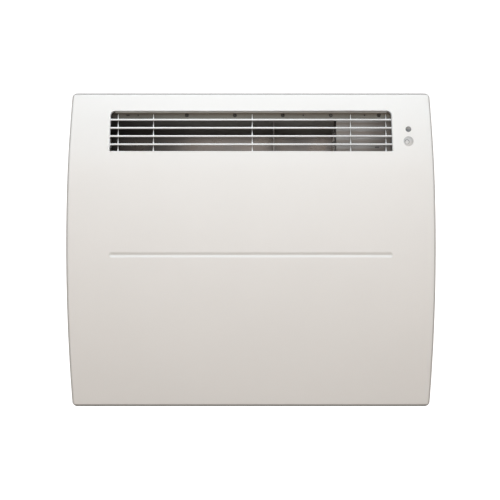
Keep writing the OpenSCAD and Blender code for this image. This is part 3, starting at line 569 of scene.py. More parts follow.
class Form:
    """A mesh in the making, in millimetres."""

    def __init__(self) -> None:
        """Starts with nothing."""
        self.bm = bmesh.new()

    @classmethod
    def of_node(cls, name: str, seam: float = 0.02) -> "Form":
        """Takes a CAD node's mesh, merged, with its flat faces joined.

        Args:
            name: the node.
            seam: faces that meet at less than this angle in degrees are joined.

        Returns:
            The form.
        """
        node = frame["nodes"][name]
        form = cls()
        form.bm.from_mesh(node.data)
        form.turn(Matrix.Scale(1 / MM, 4) @ node.matrix_world)
        return form.weld(0.0005).flatten(seam)

    @classmethod
    def joined(cls, parts: Iterable["Form"]) -> "Form":
        """Makes one form of several, in order."""
        return reduce(cls.join, parts, cls())

    def flatten(self, seam: float = 0.02) -> "Form":
        """Joins faces that lie in one plane.

        Args:
            seam: the largest angle between them, in degrees.

        Returns:
            Itself.
        """
        return self.act(bmesh.ops.dissolve_limit, angle_limit=math.radians(seam),
                        verts=self.bm.verts[:], edges=self.bm.edges[:],
                        use_dissolve_boundaries=False)

    def act(self, operator: Callable[..., dict], **settings: object) -> "Form":
        """Runs a bmesh operator on the form."""
        operator(self.bm, **settings)
        return self

    def add(self, points: Sequence[Point3], faces: Iterable[Sequence[int]]) -> "Form":
        """Adds points and faces.

        Args:
            points: the points.
            faces: places in points, anticlockwise from outside.

        Returns:
            Itself.
        """
        made = [self.bm.verts.new(p) for p in points]
        for face in faces:
            self.bm.faces.new([made[i] for i in face])
        return self

    def loft(self, rings: Sequence[Ring], caps: bool = True) -> "Form":
        """Adds a skin over rings of equal length.

        Args:
            rings: the rings, in order.
            caps: whether the two ends are closed.

        Returns:
            Itself.
        """
        n = len(rings[0])
        faces = [(k * n + j, k * n + (j + 1) % n, (k + 1) * n + (j + 1) % n, (k + 1) * n + j)
                 for k in range(len(rings) - 1) for j in range(n)]
        if caps:
            last = (len(rings) - 1) * n
            faces += [tuple(reversed(range(n))), tuple(last + j for j in range(n))]
        return self.add([p for ring in rings for p in ring], faces)

    def prism(self, figure: Sequence[Point2], axis: Axis, start: float, end: float) -> "Form":
        """Adds a figure drawn out along an axis."""
        return self.loft([[axis.lift(p, h) for p in figure] for h in (start, end)])

    def block(self, low: Point3, high: Point3) -> "Form":
        """Adds a block between two corners."""
        (x0, y0, z0), (x1, y1, z1) = low, high
        return self.prism([(x0, y0), (x1, y0), (x1, y1), (x0, y1)], Axis.Z, z0, z1)

    def lathe(self, profile: Sequence[Point2], axis: Axis, centre: Point3 = (0, 0, 0),
              steps: int = 64) -> "Form":
        """Adds a profile turned about an axis.

        Args:
            profile: pairs of radius and place along the axis.
            axis: the axis.
            centre: the point that the places count from.
            steps: steps round.

        Returns:
            Itself.
        """
        rings = []
        for radius, height in profile:
            ring = [axis.lift(p, height) for p in circle(max(radius, 1e-5), steps)]
            rings.append([tuple(c + d for c, d in zip(centre, p)) for p in ring])
        return self.loft(rings).weld(0.0001)

    def tube(self, path: Sequence[Point3 | Vector], radius: float, sides: int = 16) -> "Form":
        """Adds a round tube along a path.

        Args:
            path: its middle line.
            radius: its radius.
            sides: steps round.

        Returns:
            Itself.
        """
        points = [Vector(p) for p in path]
        side = None
        rings = []
        for i, point in enumerate(points):
            into = (point - points[i - 1]).normalized() if i else None
            out = (points[i + 1] - point).normalized() if i + 1 < len(points) else None
            along = ((into or out) + (out or into)).normalized()
            side = side or along.orthogonal().normalized()
            side = (side - along * side.dot(along)).normalized()
            other = along.cross(side)
            rings.append([tuple(point + radius * (math.cos(a) * side + math.sin(a) * other))
                          for a in arc(math.tau, sides)[:-1]])
        return self.loft(rings)

    def weld(self, distance: float) -> "Form":
        """Merges points that lie closer than a distance."""
        return self.act(bmesh.ops.remove_doubles, verts=self.bm.verts[:], dist=distance)

    def turn(self, matrix: Matrix) -> "Form":
        """Moves the whole form by a matrix."""
        self.bm.transform(matrix)
        return self

    def join(self, other: "Form") -> "Form":
        """Takes in another form.

        Args:
            other: the form; it is used up.

        Returns:
            Itself.
        """
        held = other.mesh("held")
        self.bm.from_mesh(held)
        bpy.data.meshes.remove(held)
        return self

    def outward(self) -> "Form":
        """Turns every face outwards."""
        return self.act(bmesh.ops.recalc_face_normals, faces=self.bm.faces[:])

    def cut(self, tool: "Form") -> "Form":
        """Takes another form away from this one.

        Args:
            tool: the closed form to take away; it is used up.

        Returns:
            Itself.
        """
        work, cutter = (linked("held", form.outward().mesh("held")) for form in (self, tool))
        modifier = work.modifiers.new("cut", "BOOLEAN")
        modifier.operation = "DIFFERENCE"
        modifier.solver = "EXACT"
        modifier.object = cutter
        seen = work.evaluated_get(bpy.context.evaluated_depsgraph_get())
        result = bpy.data.meshes.new_from_object(seen)
        self.bm = bmesh.new()
        self.bm.from_mesh(result)
        bpy.data.batch_remove((work, cutter, work.data, cutter.data, result))
        return self

    def mesh(self, name: str) -> bpy.types.Mesh:
        """Ends the making: the form becomes a mesh.

        Args:
            name: the mesh's name.

        Returns:
            The mesh.
        """
        made = bpy.data.meshes.new(name)
        self.bm.to_mesh(made)
        self.bm.free()
        return made

    @staticmethod
    def turns(edge: bmesh.types.BMEdge, limit: float) -> bool:
        """Whether an edge's two faces meet at more than an angle in radians."""
        return len(edge.link_faces) == 2 and edge.calc_face_angle(0) > limit

    def ease(self, width: float, segments: int = 2, sharper: float = 35.0) -> "Form":
        """Rounds the edges that are sharper than an angle.

        Args:
            width: how far the rounding reaches from the edge.
            segments: steps across it.
            sharper: the least angle between the two faces, in degrees.

        Returns:
            Itself.
        """
        limit = math.radians(sharper)
        crisp = [e for e in self.bm.edges if self.turns(e, limit)]
        return self.act(bmesh.ops.bevel, geom=crisp, offset=width, offset_type="OFFSET",
                        segments=segments, profile=0.5, affect="EDGES", clamp_overlap=True,
                        material=-1)

    def weigh(self, limit: float) -> list[Point3]:
        """The corners' normals, in which a large face counts for more than a narrow one.

        Args:
            limit: faces that turn further than this angle away are left out.

        Returns:
            One normal for each corner, in the order of the faces.
        """
        self.bm.normal_update()
        least = math.cos(limit)
        pull = {face: face.normal * face.calc_area() for face in self.bm.faces}
        normals = []
        for face in self.bm.faces:
            for loop in face.loops:
                near = [f for f in loop.vert.link_faces if f.normal.dot(face.normal) > least]
                total = sum((pull[f] for f in near), Vector())
                normals.append(tuple((total if total.length > 0 else face.normal).normalized()))
        return normals

    def piece(self, name: str, finish: Finish, slot: str, body: str = "heater",
              stands_for: Sequence[str] = (), sharp: float = 32.0) -> None:
        """Ends the making: the form becomes an object of the model, and is reported.

        Args:
            name: the object's name.
            finish: what its surface is.
            slot: the record's slot for its finish; it is not used.
            body: the body that it moves with.
            stands_for: CAD nodes that it is shown instead of.
            sharp: edges above this angle in degrees stay crisp.
        """
        limit = math.radians(sharp)
        for face in self.bm.faces:
            face.smooth = True
        for edge in self.bm.edges:
            edge.smooth = not self.turns(edge, limit)
        normals = self.weigh(limit)
        mesh = self.turn(Matrix.Scale(MM, 4)).mesh(name)
        mesh.normals_split_custom_set(normals)
        mesh.materials.append(finish.material())
        made = linked(name, mesh)
        if stands_for:
            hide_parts(*stands_for)
        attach(made, body)
        LOG.info("%s rides %s", name, body)


def lean_back(degrees: float) -> Matrix:
    """Tips a form back about the x axis, away from someone in front of the heater."""
    return Matrix.Rotation(-math.radians(degrees), 4, "X")


@dataclass(frozen=True)
class Plan:
    """The heater's outline, front and main places, in millimetres."""

    width: float = 530.0
    height: float = 450.0
    depth: float = 98.0
    bow: float = 8.5
    corner: float = 7.0
    crown: float = 9.0
    tilt: float = 5.5
    band: float = 85.0
    crease: float = 34.0
    back: float = -20.8
    outlet_half: float = 202.4
    outlet_flare: float = 1.25
    outlet_height: float = 60.0
    outlet_z: float = 170.3
    outlet_corner: float = 7.0
    sensor_x: float = 225.7
    indicator_z: float = 172.9
    lens_z: float = 155.5

    def sag(self, z: float) -> float:
        """How far the side lies inside the full width at a height."""
        r = self.bow_radius()
        return r - math.sqrt(r * r - z * z)

    def bow_radius(self) -> float:
        """Radius of the bowed side."""
        return ((self.height / 2) ** 2 + self.bow ** 2) / (2 * self.bow)

    def skin(self, z: float) -> float:
        """Depth of the front face at a height.

        Args:
            z: the height.

        Returns:
            The place along y.
        """
        hi = self.height / 2 - self.band
        lo = hi - self.crease
        slope = math.tan(math.radians(self.tilt))
        if z < lo:
            radius = (self.height / 2 + lo) ** 2 / (2 * self.crown)
            fall = (lo - z) ** 2 / (2 * radius)
        elif z < hi:
            fall = slope * (z - lo) ** 2 / (2 * self.crease)
        else:
            fall = slope * (self.crease / 2 + z - hi)
        return fall - self.depth

    def edge(self, inset: float, heights: Sequence[float], steps: int = 6) -> list[Point2]:
        """The right edge from the bottom to the top.

        Args:
            inset: how far the outline is drawn in.
            heights: heights of the rows between the corners.
            steps: steps in each corner.

        Returns:
            The points as x and z.
        """
        r = max(self.corner - inset, 1.0)
        zc = self.height / 2 - inset - r
        lean = math.asin(zc / self.bow_radius())
        top = zc + r * math.sin(lean)
        xc = self.width / 2 - inset - self.sag(top) - r * math.cos(lean)
        turns = [lean + a for a in arc(math.pi / 2 - lean, steps)]
        upper = [(xc + r * math.cos(a), zc + r * math.sin(a)) for a in turns]
        side = [(self.width / 2 - inset - self.sag(z), z) for z in heights]
        return [(x, -z) for x, z in reversed(upper)] + side + upper

    def band_place(self, x: float, z: float) -> Matrix:
        """Moves a form drawn about the origin to a point of the tilted band."""
        return Matrix.Translation((x, self.skin(z), z)) @ lean_back(self.tilt)

    def outlet(self, inset: float, steps: int = 14) -> list[Point2]:
        """The outlet's figure about its own middle.

        Args:
            inset: how far it is drawn in.
            steps: steps in each upper corner.

        Returns:
            The points as x and z.
        """
        top = self.outlet_height / 2 - inset
        half = self.outlet_half - inset
        r = self.outlet_corner - min(inset, 3.0) / 2
        foot = half + self.outlet_flare
        right = [(foot - 0.8, -top), (foot - 0.25, -top + 0.25), (foot, -top + 0.8)]
        right += [(half - r + r * math.cos(a), top - r + r * math.sin(a))
                  for a in arc(math.pi / 2, steps)]
        return right + [(-x, z) for x, z in reversed(right)]


PLAN = Plan()


@dataclass
class FrontCover:
    """The pressed and folded steel front, in one sheet."""

    finish: Enamel
    fold: float = 4.0
    sheet: float = 1.0
    flange: float = 12.0
    fold_steps: int = 8
    groove_z: float = -7.5
    groove_reach: float = 199.95
    groove_soft: float = 4.2
    groove_depth: float = 1.5
    indicator_hole: float = 4.15
    lens_hole: float = 7.15
    screw_hole: float = 1.9
    bezel_hole: Point2 = (98.6, 34.6)
    bezel_corner: float = 3.0
    slot: Point2 = (17, 6)
    slot_rows: Point2 = (-7.2, 7.2)
    slot_count: int = 18
    slot_pitch: float = 24

    def heights(self) -> list[float]:
        """Rows of the front, close together in the groove and the crease.

        Returns:
            Their heights.
        """
        rows = [-210.0 + 10 * k for k in range(20)]
        rows += [self.groove_z - 5 + 0.5 * k for k in range(21)]
        rows += [float(z) for z in range(2, 106, 8)]
        rows += [106 + 2.0 * k for k in range(18)]
        return rows + [150.0 + 10 * k for k in range(7)]

    def columns(self) -> list[float]:
        """Columns of the front, close together at the groove's ends.

        Returns:
            Their places as shares of the half width.
        """
        half = PLAN.width / 2 - self.fold
        right = [30.0 * k for k in range(7)] + [192 + 0.6 * k for k in range(23)] + [222.0, 240.0]
        shares = [x / half for x in right]
        return [-s for s in reversed(shares[1:])] + shares

    def dent(self, x: float, z: float) -> float:
        """Depth of the groove at a point of the front."""
        off = math.hypot(max(abs(x) - self.groove_reach, 0), z - self.groove_z) / self.groove_soft
        return self.groove_depth * 0.5 * (1 + math.cos(math.pi * min(off, 1.0)))

    def face(self, form: Form, inset: float, back: float) -> None:
        """Adds one side of the front face, a net of rows and columns.

        Args:
            form: the form to add to.
            inset: how far the outline is drawn in.
            back: how far it lies behind the front.
        """
        shares = [-1.0] + self.columns() + [1.0]
        points, faces = [], []
        for x, z in PLAN.edge(inset, self.heights()):
            points += [(s * x, PLAN.skin(z) + back + self.dent(s * x, z), z) for s in shares]
        wide = len(shares)
        for row in range(0, len(points) - wide, wide):
            faces += [(a, a + 1, a + wide + 1, a + wide) for a in range(row, row + wide - 1)]
        form.add(points, faces)

    def ring(self, inset: float, depth: Callable[[float], float]) -> Ring:
        """A ring of the outline at its own depth.

        Args:
            inset: how far it is drawn in.
            depth: gives the place along y at a height.

        Returns:
            Its points.
        """
        edge = PLAN.edge(inset, self.heights())
        (foot_x, foot_z), (head_x, head_z) = edge[0], edge[-1]
        shares = self.columns()
        loop = ([(s * foot_x, foot_z) for s in shares] + edge
                + [(s * head_x, head_z) for s in reversed(shares)]
                + [(-x, z) for x, z in reversed(edge)])
        return [(x, depth(z), z) for x, z in loop]

    def bend(self, turn: float, skin: float, radius: float) -> Ring:
        """A ring of the fold between the front and the sides."""
        return self.ring(skin + radius * (1 - math.cos(turn)),
                         lambda z: PLAN.skin(z) + skin + radius * (1 - math.sin(turn)))

    def shell(self) -> Form:
        """Folds the sheet.

        Returns:
            The sheet without its openings.
        """
        form = Form()
        turns = arc(math.pi / 2, self.fold_steps)
        lip = PLAN.back - self.sheet
        rings = [self.bend(t, 0, self.fold) for t in reversed(turns)]
        corners = ((0, PLAN.back), (self.flange, PLAN.back), (self.flange, lip), (self.sheet, lip))
        rings += [self.ring(inset, lambda z, y=y: y) for inset, y in corners]
        rings += [self.bend(t, self.sheet, self.fold - self.sheet) for t in turns]
        form.loft(rings, caps=False)
        self.face(form, self.fold, 0.0)
        self.face(form, self.fold, self.sheet)
        return form.weld(0.0005).outward()

    def openings(self) -> Form:
        """Draws every opening in the sheet.

        Returns:
            The solids to cut away.
        """
        tool = Form().prism(PLAN.outlet(0), Axis.Y, -12, 8)
        tool.turn(PLAN.band_place(0, PLAN.outlet_z))
        for z, radius in ((PLAN.indicator_z, self.indicator_hole), (PLAN.lens_z, self.lens_hole)):
            hole = Form().prism(circle(radius, 56), Axis.Y, -8, 6)
            tool.join(hole.turn(PLAN.band_place(PLAN.sensor_x, z)))
        mid = centre("control_bezel")
        figure = rounded(*self.bezel_hole, self.bezel_corner, (mid.x, mid.y))
        tool.join(Form().prism(figure, Axis.Z, 221, 229))
        for k in range(self.slot_count):
            for row in self.slot_rows:
                spot = ((k - (self.slot_count - 1) / 2) * self.slot_pitch, mid.y + row)
                figure = rounded(*self.slot, self.slot[1] / 2 - 0.001, spot)
                tool.join(Form().prism(figure, Axis.Z, -229, -221))
        for spot in screw_spots():
            tool.join(Form().prism(circle(self.screw_hole, 20, spot), Axis.Y, -24, -18))
        return tool

    def build(self) -> None:
        """Makes the cover."""
        form = self.shell().cut(self.openings()).weld(0.0004).flatten(0.01).ease(0.34, 2, 50)
        form.piece("cover", self.finish, "cover_enamel", stands_for=("front_cover",), sharp=40)


@dataclass
class OutletGrille:
    """The slatted outlet: a surround, four slats and five tapered uprights."""

    finish: Enamel
    rear: float = 9.5
    overlap: float = 0.9
    slat_places: tuple[float, ...] = (16.8, 4.9, -7.0, -18.9)
    upright_places: tuple[float, ...] = (-190.9, -140.15, 1.75, 143.15, 193.9)
    upright_halves: tuple[Point2, ...] = ((0, 1.15), (0.4, 0.62), (1, 0.18))
    upright_y: float = 3.3
    upright_lean: float = 0.4
    head: float = 25.4
    nose: float = 1.2
    nose_y: float = 1.5

    def surround(self) -> Form:
        """Draws the frame with its rounded lip and its flange.

        Returns:
            The form.
        """
        profile = ((0.3, self.rear), (0.3, 1.9), (-5.0, 1.9), (-5.0, 1.12), (0.12, 1.12),
                   (0.1, 0.1), (-0.25, -0.05), (-0.3, -0.22), (-0.15, -0.36), (0.2, -0.42),
                   (0.5, -0.38), (0.7, -0.2), (0.8, 0.1), (0.85, 0.5), (0.85, self.rear))
        rings = [[(x, y, z) for x, z in PLAN.outlet(inset)] for inset, y in profile]
        return Form().loft(rings + rings[:1], caps=False).weld(0.0005).outward()

    def slat(self, z: float) -> Form:
        """Draws a slat: a round nose that thins towards the back.

        Args:
            z: its height above the outlet's middle.

        Returns:
            The form.
        """
        flare = PLAN.outlet_flare * (0.5 - z / PLAN.outlet_height)
        reach = PLAN.outlet_half - self.overlap + flare
        middle = self.nose_y + self.nose
        nose = [(middle - self.nose * math.sin(t), z + self.nose * math.cos(t))
                for t in arc(math.pi, 12)]
        tail = [(self.rear - 0.4, z - 0.6), (self.rear, z - 0.3), (self.rear, z + 0.3),
                (self.rear - 0.4, z + 0.6)]
        return Form().prism(nose + tail, Axis.X, -reach, reach)

    def blade(self, x: float, foot: float, head: float) -> Form:
        """Returns one cell's upright, which widens from its head to its foot.

        Args:
            x: its place to the right.
            foot: height of its foot.
            head: height of its head.

        Returns:
            The form.
        """
        rings = []
        for share, half in self.upright_halves:
            z = foot + (head - foot) * share
            front = self.upright_y + (z - foot) * self.upright_lean
            rings.append([(x + i * half, y, z) for i, y in (
                (-1, self.rear - 0.3), (-1, front + 0.8), (-0.5, front + 0.15), (0, front),
                (0.5, front + 0.15), (1, front + 0.8), (1, self.rear - 0.3))])
        return Form().loft(rings)

    def build(self) -> None:
        """Makes the grille as one moulded piece."""
        edges = (self.overlap - PLAN.outlet_height / 2, *reversed(self.slat_places), self.head)
        cells = [(x, *ends) for x in self.upright_places for ends in zip(edges, edges[1:])]
        form = self.surround()
        for part in (*map(self.slat, self.slat_places), *(self.blade(*cell) for cell in cells)):
            form.join(part)
        form.turn(PLAN.band_place(0, PLAN.outlet_z)).outward()
        form.piece("grille", self.finish, "grille_enamel", stands_for=("outlet_grille",))


@dataclass
class Sensors:
    """The dark indicator window and the domed presence lens, on their holder."""

    tinted: Moulded
    milky: Lens
    shadow: Moulded
    radius: float = 7.0
    rise: float = 2.6
    inner: float = 6.2
    wall: float = 0.8
    flange: float = 8.5
    flange_y: Point2 = (1.0, 2.0)
    steps: int = 70
    fine_steps: tuple[int, int] = (42, 66)
    fine_depth: float = 0.035
    ridge: float = 3.8
    ridge_half: float = 0.32
    ridge_rise: float = 0.16
    ring: float = 3.1
    ring_tube: float = 0.42
    ring_aim: Point2 = (-2.4, -1.3)

    def indicator(self) -> None:
        """Makes the tinted window with a raised bead round it."""
        profile = ((0.0, 2.2), (4.0, 2.2), (5.5, 2.2), (5.5, 1.0), (4.0, 1.0), (4.0, 0.1),
                   (3.9, -0.08), (3.7, -0.15), (3.3, -0.10), (2.9, 0.22), (2.0, 0.32), (0.0, 0.36))
        form = Form().lathe(profile, Axis.Y).turn(PLAN.band_place(PLAN.sensor_x, PLAN.indicator_z))
        form.outward().piece("indicator", self.tinted, "indicator_plastic",
                             stands_for=("indicator_window",))

    def lens(self) -> None:
        """Makes the dome with its fine rings, and the darker ring in it."""
        place = PLAN.band_place(PLAN.sensor_x, PLAN.lens_z)
        ball = (self.radius ** 2 + self.rise ** 2) / (2 * self.rise)

        def dome(r: float, offset: float = 0.0) -> float:
            """Depth of the dome at a distance from its axis, its inner face when offset."""
            return ball - self.rise - math.sqrt((ball - offset) ** 2 - r * r)

        near, far = self.flange_y
        first, last = self.fine_steps
        profile = [(r, dome(r, self.wall)) for r in arc(self.inner, 12)]
        profile += [(self.inner, far), (self.flange, far), (self.flange, near), (self.radius, near)]
        for k, r in reversed(list(enumerate(arc(self.radius, self.steps)))):
            fine = self.fine_depth * (1 - (k % 5) / 5) if first < k < last else 0.0
            ridge = self.ridge_rise * max(0.0, 1 - abs(r - self.ridge) / self.ridge_half)
            profile.append((r, dome(r) + fine + ridge))
        form = Form().lathe(profile, Axis.Y, steps=96).turn(place).outward()
        form.piece("lens", self.milky, "lens_plastic", stands_for=("presence_lens",), sharp=50)
        depth = -math.sqrt(ball ** 2 - self.ring ** 2)
        rim = [(self.ring + self.ring_tube * math.cos(a), depth + self.ring_tube * math.sin(a))
               for a in arc(math.tau, 16)]
        aim = Vector((self.ring_aim[0], depth, self.ring_aim[1]))
        aim = aim.to_track_quat("-Y", "Z").to_matrix().to_4x4()
        aim = Matrix.Translation((0, ball - self.rise, 0)) @ aim
        ring = Form().lathe(rim, Axis.Y, steps=48).turn(aim).turn(place).outward()
        ring.piece("lens_ring", self.shadow, "lens_plastic")

    def build(self) -> None:
        """Makes both windows."""
        self.indicator()
        self.lens()


@dataclass(frozen=True)
class Dress:
    """How CAD nodes are shown: their own shapes with rounded edges and a finish."""

    nodes: str
    slot: str
    finish: Finish
    ease: float = 0.3
    segments: int = 2
    body: str = "heater"

    def build(self) -> None:
        """Makes an eased piece for each node."""
        for node in self.nodes.split():
            form = Form.of_node(node).ease(self.ease, self.segments)
            form.piece(node + "_eased", self.finish, self.slot, self.body, (node,))


@dataclass
class TopRail:
    """The rail behind the outlet's upper edge: a dull strip with riveted holes, a pale lip, and
    painted shade at its holes.
    """

    strip: Zinc
    lip: Enamel
    rivet: Zinc
    # The dark mouldings at the holes are painted shade.
    washer: Moulded
    fold_z: float = 197.65
    first: float = -92.4
    pitch: float = 69.2
    count: int = 5
    hole_drop: float = 3.65
    small_holes: tuple[float, ...] = (-179.0, -177.4, -175.8, -162.9, 75.5, 163.9)
    lip_figure: tuple[Point2, ...] = ((-78.05, 196.9), (-78.05, 198.0), (-81.2, 199.2),
                                      (-81.5, 198.5), (-78.85, 197.3), (-78.85, 196.9))
    rivet_profile: tuple[Point2, ...] = ((0, -0.95), (0.6, -0.9), (0.95, -0.7), (1.15, -0.35),
                                         (1.15, 0.1), (0, 0.1))

    def build(self) -> None:
        """Makes the rail's pieces."""
        tool = Form().block((-260, -100, self.fold_z - 0.6), (260, -60, self.fold_z + 30))
        strip = Form.of_node("top_rail").cut(tool).weld(0.0004).flatten().ease(0.15)
        strip.piece("rail_strip", self.strip, "rail_zinc", stands_for=("top_rail",))
        reach = PLAN.outlet_half - PLAN.outlet_corner
        lip = Form().prism(self.lip_figure, Axis.X, -reach, reach).outward().ease(0.15)
        lip.piece("rail_lip", self.lip, "grille_enamel")
        # Painted shade: dark rings round the rivets and dark discs at the small holes stand for the
        # shade in the holes.
        rivets, hole_shades = Form(), Form()
        back = mm_box("top_rail")[1].y
        height = self.fold_z - self.hole_drop
        for k in range(self.count):
            spot = (self.first + k * self.pitch, back, height)
            rivets.join(Form().lathe(self.rivet_profile, Axis.Y, spot, 28))
            hole_shades.join(Form().lathe(washer(1.3, 2.7, -0.12, 0.1), Axis.Y, spot, 32))
        for x in self.small_holes:
            disc = ((0, -0.12), (1.15, -0.12), (1.15, 0.1), (0, 0.1))
            hole_shades.join(Form().lathe(disc, Axis.Y, (x, back, height), 24))
        rivets.outward().piece("rail_rivets", self.rivet, "rail_zinc")
        hole_shades.outward().piece("rail_hole_shades", self.washer, "switch_plastic")


@dataclass
class Deflector:
    """The air deflector, one sheet in two finishes for how light falls on it: the upright part
    below its bend with a painted sheen, and the slope above it with painted shade.
    """

    foot: Zinc
    slope: Zinc
    bend_z: float = 167.6

    def build(self) -> None:
        """Makes both parts."""
        for name, finish, low, high in (("deflector_foot", self.foot, self.bend_z, 300.0),
                                        ("deflector_slope", self.slope, 0.0, self.bend_z)):
            tool = Form().block((-300, -120, low), (300, -10, high))
            part = Form.of_node("air_deflector").cut(tool).weld(0.0004).flatten().ease(0.15, 2, 50)
            part.piece(name, finish, "deflector_zinc", stands_for=("air_deflector",))


@dataclass
class RearCasing:
    """The back panel with pressed beads that stiffen it."""

    finish: Zinc
    bead_width: float = 9.0
    bead_rise: float = 1.3
    bead_y: float = -20.15
    bead_length: float = 336.0
    upright_x: float = 214.0
    upright_length: float = 190.0
    bead_heights: tuple[float, ...] = (104.0, 62.0, 20.0, -22.0, -64.0, -106.0)

    def bead(self, x: float, z: float, length: float, upright: bool = False) -> Form:
        """Returns one pressed bead on the back face.

        Args:
            x: its middle to the right.
            z: its middle height.
            length: from end to end.
            upright: whether it stands.

        Returns:
            The form.
        """
        rings = []
        for k, turn in enumerate(arc(math.pi, 8)):
            inset = self.bead_width / 2 * k / 8.4
            y = self.bead_y + (self.bead_rise + 0.15) * 0.5 * (1 - math.cos(turn))
            width = self.bead_width - 2 * inset
            figure = rounded(length - 2 * inset, width, self.bead_width / 2 - inset - 0.001)
            if upright:
                figure = [(b, a) for a, b in figure]
            rings.append([(x + a, y, z + b) for a, b in figure])
        return Form().loft(rings).outward()

    def build(self) -> None:
        """Makes the casing and its beads."""
        form = Form.of_node("rear_casing").ease(0.22, 2, 50).outward()
        for z in self.bead_heights:
            form.join(self.bead(0, z, self.bead_length))
        for side in (-1, 1):
            form.join(self.bead(side * self.upright_x, 0, self.upright_length, upright=True))
        form.piece("casing", self.finish, "casing_zinc", stands_for=("rear_casing",), sharp=40)


@dataclass
class Controls:
    """The bezel in the top face with its display and four keys, and what hangs below it."""

    bezel: Moulded
    acrylic: Moulded
    key: Moulded
    ink: Moulded
    clip: Moulded
    lit: Moulded
    ink_z: Point2 = (-0.25, 0.07)
    bar_size: Point2 = (3.5, 0.75)
    degree_place: Point2 = (9.4, 3.6)
    clip_heights: Point2 = (174.5, 155.5)
    hook: float = 2.6
    hole_shade_size: Point2 = (6.4, 2.0)
    hole_shade_place: Point2 = (182.0, 147.8)

    SIGNS = {
        "minus": ((0, 0, 4.2, 0.7, 0),),
        "plus": ((0, 0, 4.2, 0.7, 0), (0, 0, 4.2, 0.7, 90)),
        "mode": ((0, 1.3, 4.0, 0.6, 0), (0, 0, 4.0, 0.6, 0), (0, -1.3, 4.0, 0.6, 0)),
        "confirm": ((-1.15, -0.35, 2.1, 0.7, -45), (0.55, 0.15, 3.7, 0.7, 52)),
    }
    BARS = {"a": (0, 4.2, 0), "b": (2.3, 2.1, 90), "c": (2.3, -2.1, 90), "d": (0, -4.2, 0),
            "e": (-2.3, -2.1, 90), "g": (0, 0, 0)}
    DIGITS = ((-5.2, "abged"), (3.2, "bc"))

    def bar(self, x: float, y: float, long: float, wide: float, turn: float = 0.0) -> Form:
        """Returns one printed stroke on a key, drawn at the top face.

        Args:
            x: its middle.
            y: its middle.
            long: its length.
            wide: its width.
            turn: degrees from the x axis.

        Returns:
            The form.
        """
        form = Form().prism(rounded(long, wide, wide / 2 - 0.001, steps=5), Axis.Z, *self.ink_z)
        place = Matrix.Translation((x, y, PLAN.height / 2))
        return form.ease(0.03, 1, 50).turn(place @ Matrix.Rotation(math.radians(turn), 4, "Z"))

    def sign(self, name: str, x: float, y: float) -> Form:
        """Draws the plain sign on a key whose middle is given."""
        strokes = ((x + dx, y + dy, *stroke) for dx, dy, *stroke in self.SIGNS[name])
        return Form.joined(self.bar(*stroke) for stroke in strokes)

    def digits(self, x: float, y: float) -> Form:
        """Draws the lit segments under the display window, with a degree ring.

        Args:
            x: the window's middle.
            y: the window's middle.

        Returns:
            The form.
        """
        bars = ((x + shift, *self.BARS[bar]) for shift, lit in self.DIGITS for bar in lit)
        form = Form.joined(self.bar(at + dx, y + dy, *self.bar_size, turn)
                           for at, dx, dy, turn in bars)
        spot = (x + self.degree_place[0], y + self.degree_place[1], PLAN.height / 2)
        return form.join(Form().lathe(washer(0.75, 1.25, -0.25, 0.05), Axis.Z, spot, 28))

    def build(self) -> None:
        """Makes the bezel's pieces."""
        form = Form.of_node("control_bezel").ease(0.4, 3, 50)
        form.piece("bezel", self.bezel, "bezel_plastic", stands_for=("control_bezel",))
        form = Form.of_node("display_window").ease(0.3, 3, 50)
        form.piece("window", self.acrylic, "window_acrylic", stands_for=("display_window",))
        x, y, _ = centre("display_window")
        self.digits(x, y).outward().piece("window_digits", self.lit, "bezel_plastic")
        for name in self.SIGNS:
            node = "key_" + name
            x, y, _ = centre(node)
            form = Form.of_node(node).ease(0.45, 3, 50)
            form.piece(node + "_cap", self.key, "key_plastic", name, (node,))
            form = self.sign(name, x, y).outward()
            form.piece(node + "_mark", self.ink, "switch_plastic", name)
        self.clips()

    def clips(self) -> None:
        """Makes the small hooks for wires on the housing's left side, and a dark patch near its
        foot that is painted shade for a slot.
        """
        (x, y, _), _ = mm_box("control_housing")
        form = Form()
        for z in self.clip_heights:
            path = [(x + 1.0, y + 1.4, z)]
            for a in (math.radians(-10 * k) for k in range(25)):
                path.append((x - 3.4 + self.hook * math.sin(a), y + 1.4,
                             z - self.hook + self.hook * math.cos(a)))
            form.join(Form().tube(path, 0.85, 12))
            form.join(Form().block((x - 0.8, y + 0.4, z - 6.2), (x + 0.6, y + 2.4, z + 1.4)))
        # Painted shade: a thin dark patch on the housing stands for the shade in a slot.
        figure = rounded(*self.hole_shade_size, self.hole_shade_size[1] / 2 - 0.001, self.hole_shade_place)
        slot = Form().prism(figure, Axis.Y, y - 0.06, y + 0.3)
        form.join(slot).outward().piece("wire_clips", self.clip, "housing_plastic")


@dataclass
class Rocker:
    """The mains switch's rocker with its two signs."""

    glossy: Moulded
    ink: Moulded
    pivot: Point3 = (222, -21.5, -140)
    rise: float = 3.0
    half: float = 8.5
    tilt: float = 9.0

    def on_face(self, side: int) -> Matrix:
        """The middle of one half of the rocker's face.

        Args:
            side: 1 for the upper half, -1 for the lower.

        Returns:
            The matrix; +Y points out of the face.
        """
        pivot = Matrix.Translation(self.pivot) @ lean_back(self.tilt)
        lift = self.rise + self.half / 2 * math.tan(math.radians(self.tilt))
        middle = Matrix.Translation((0, lift, side * self.half / 2))
        return pivot @ middle @ lean_back(side * self.tilt)

    def build(self) -> None:
        """Makes the rocker and its signs."""
        form = Form.of_node("mains_rocker").ease(0.5, 3, 40)
        form.piece("rocker_cap", self.glossy, "rocker_plastic", "rocker", ("mains_rocker",))
        stroke = Form().prism(rounded(0.8, 4.2, 0.39, steps=5), Axis.Y, -0.2, 0.08)
        ring = Form().lathe(washer(1.35, 1.95, -0.2, 0.08), Axis.Y, steps=36)
        signs = stroke.turn(self.on_face(1)).join(ring.turn(self.on_face(-1)))
        signs.outward().piece("rocker_signs", self.ink, "bezel_plastic", "rocker")


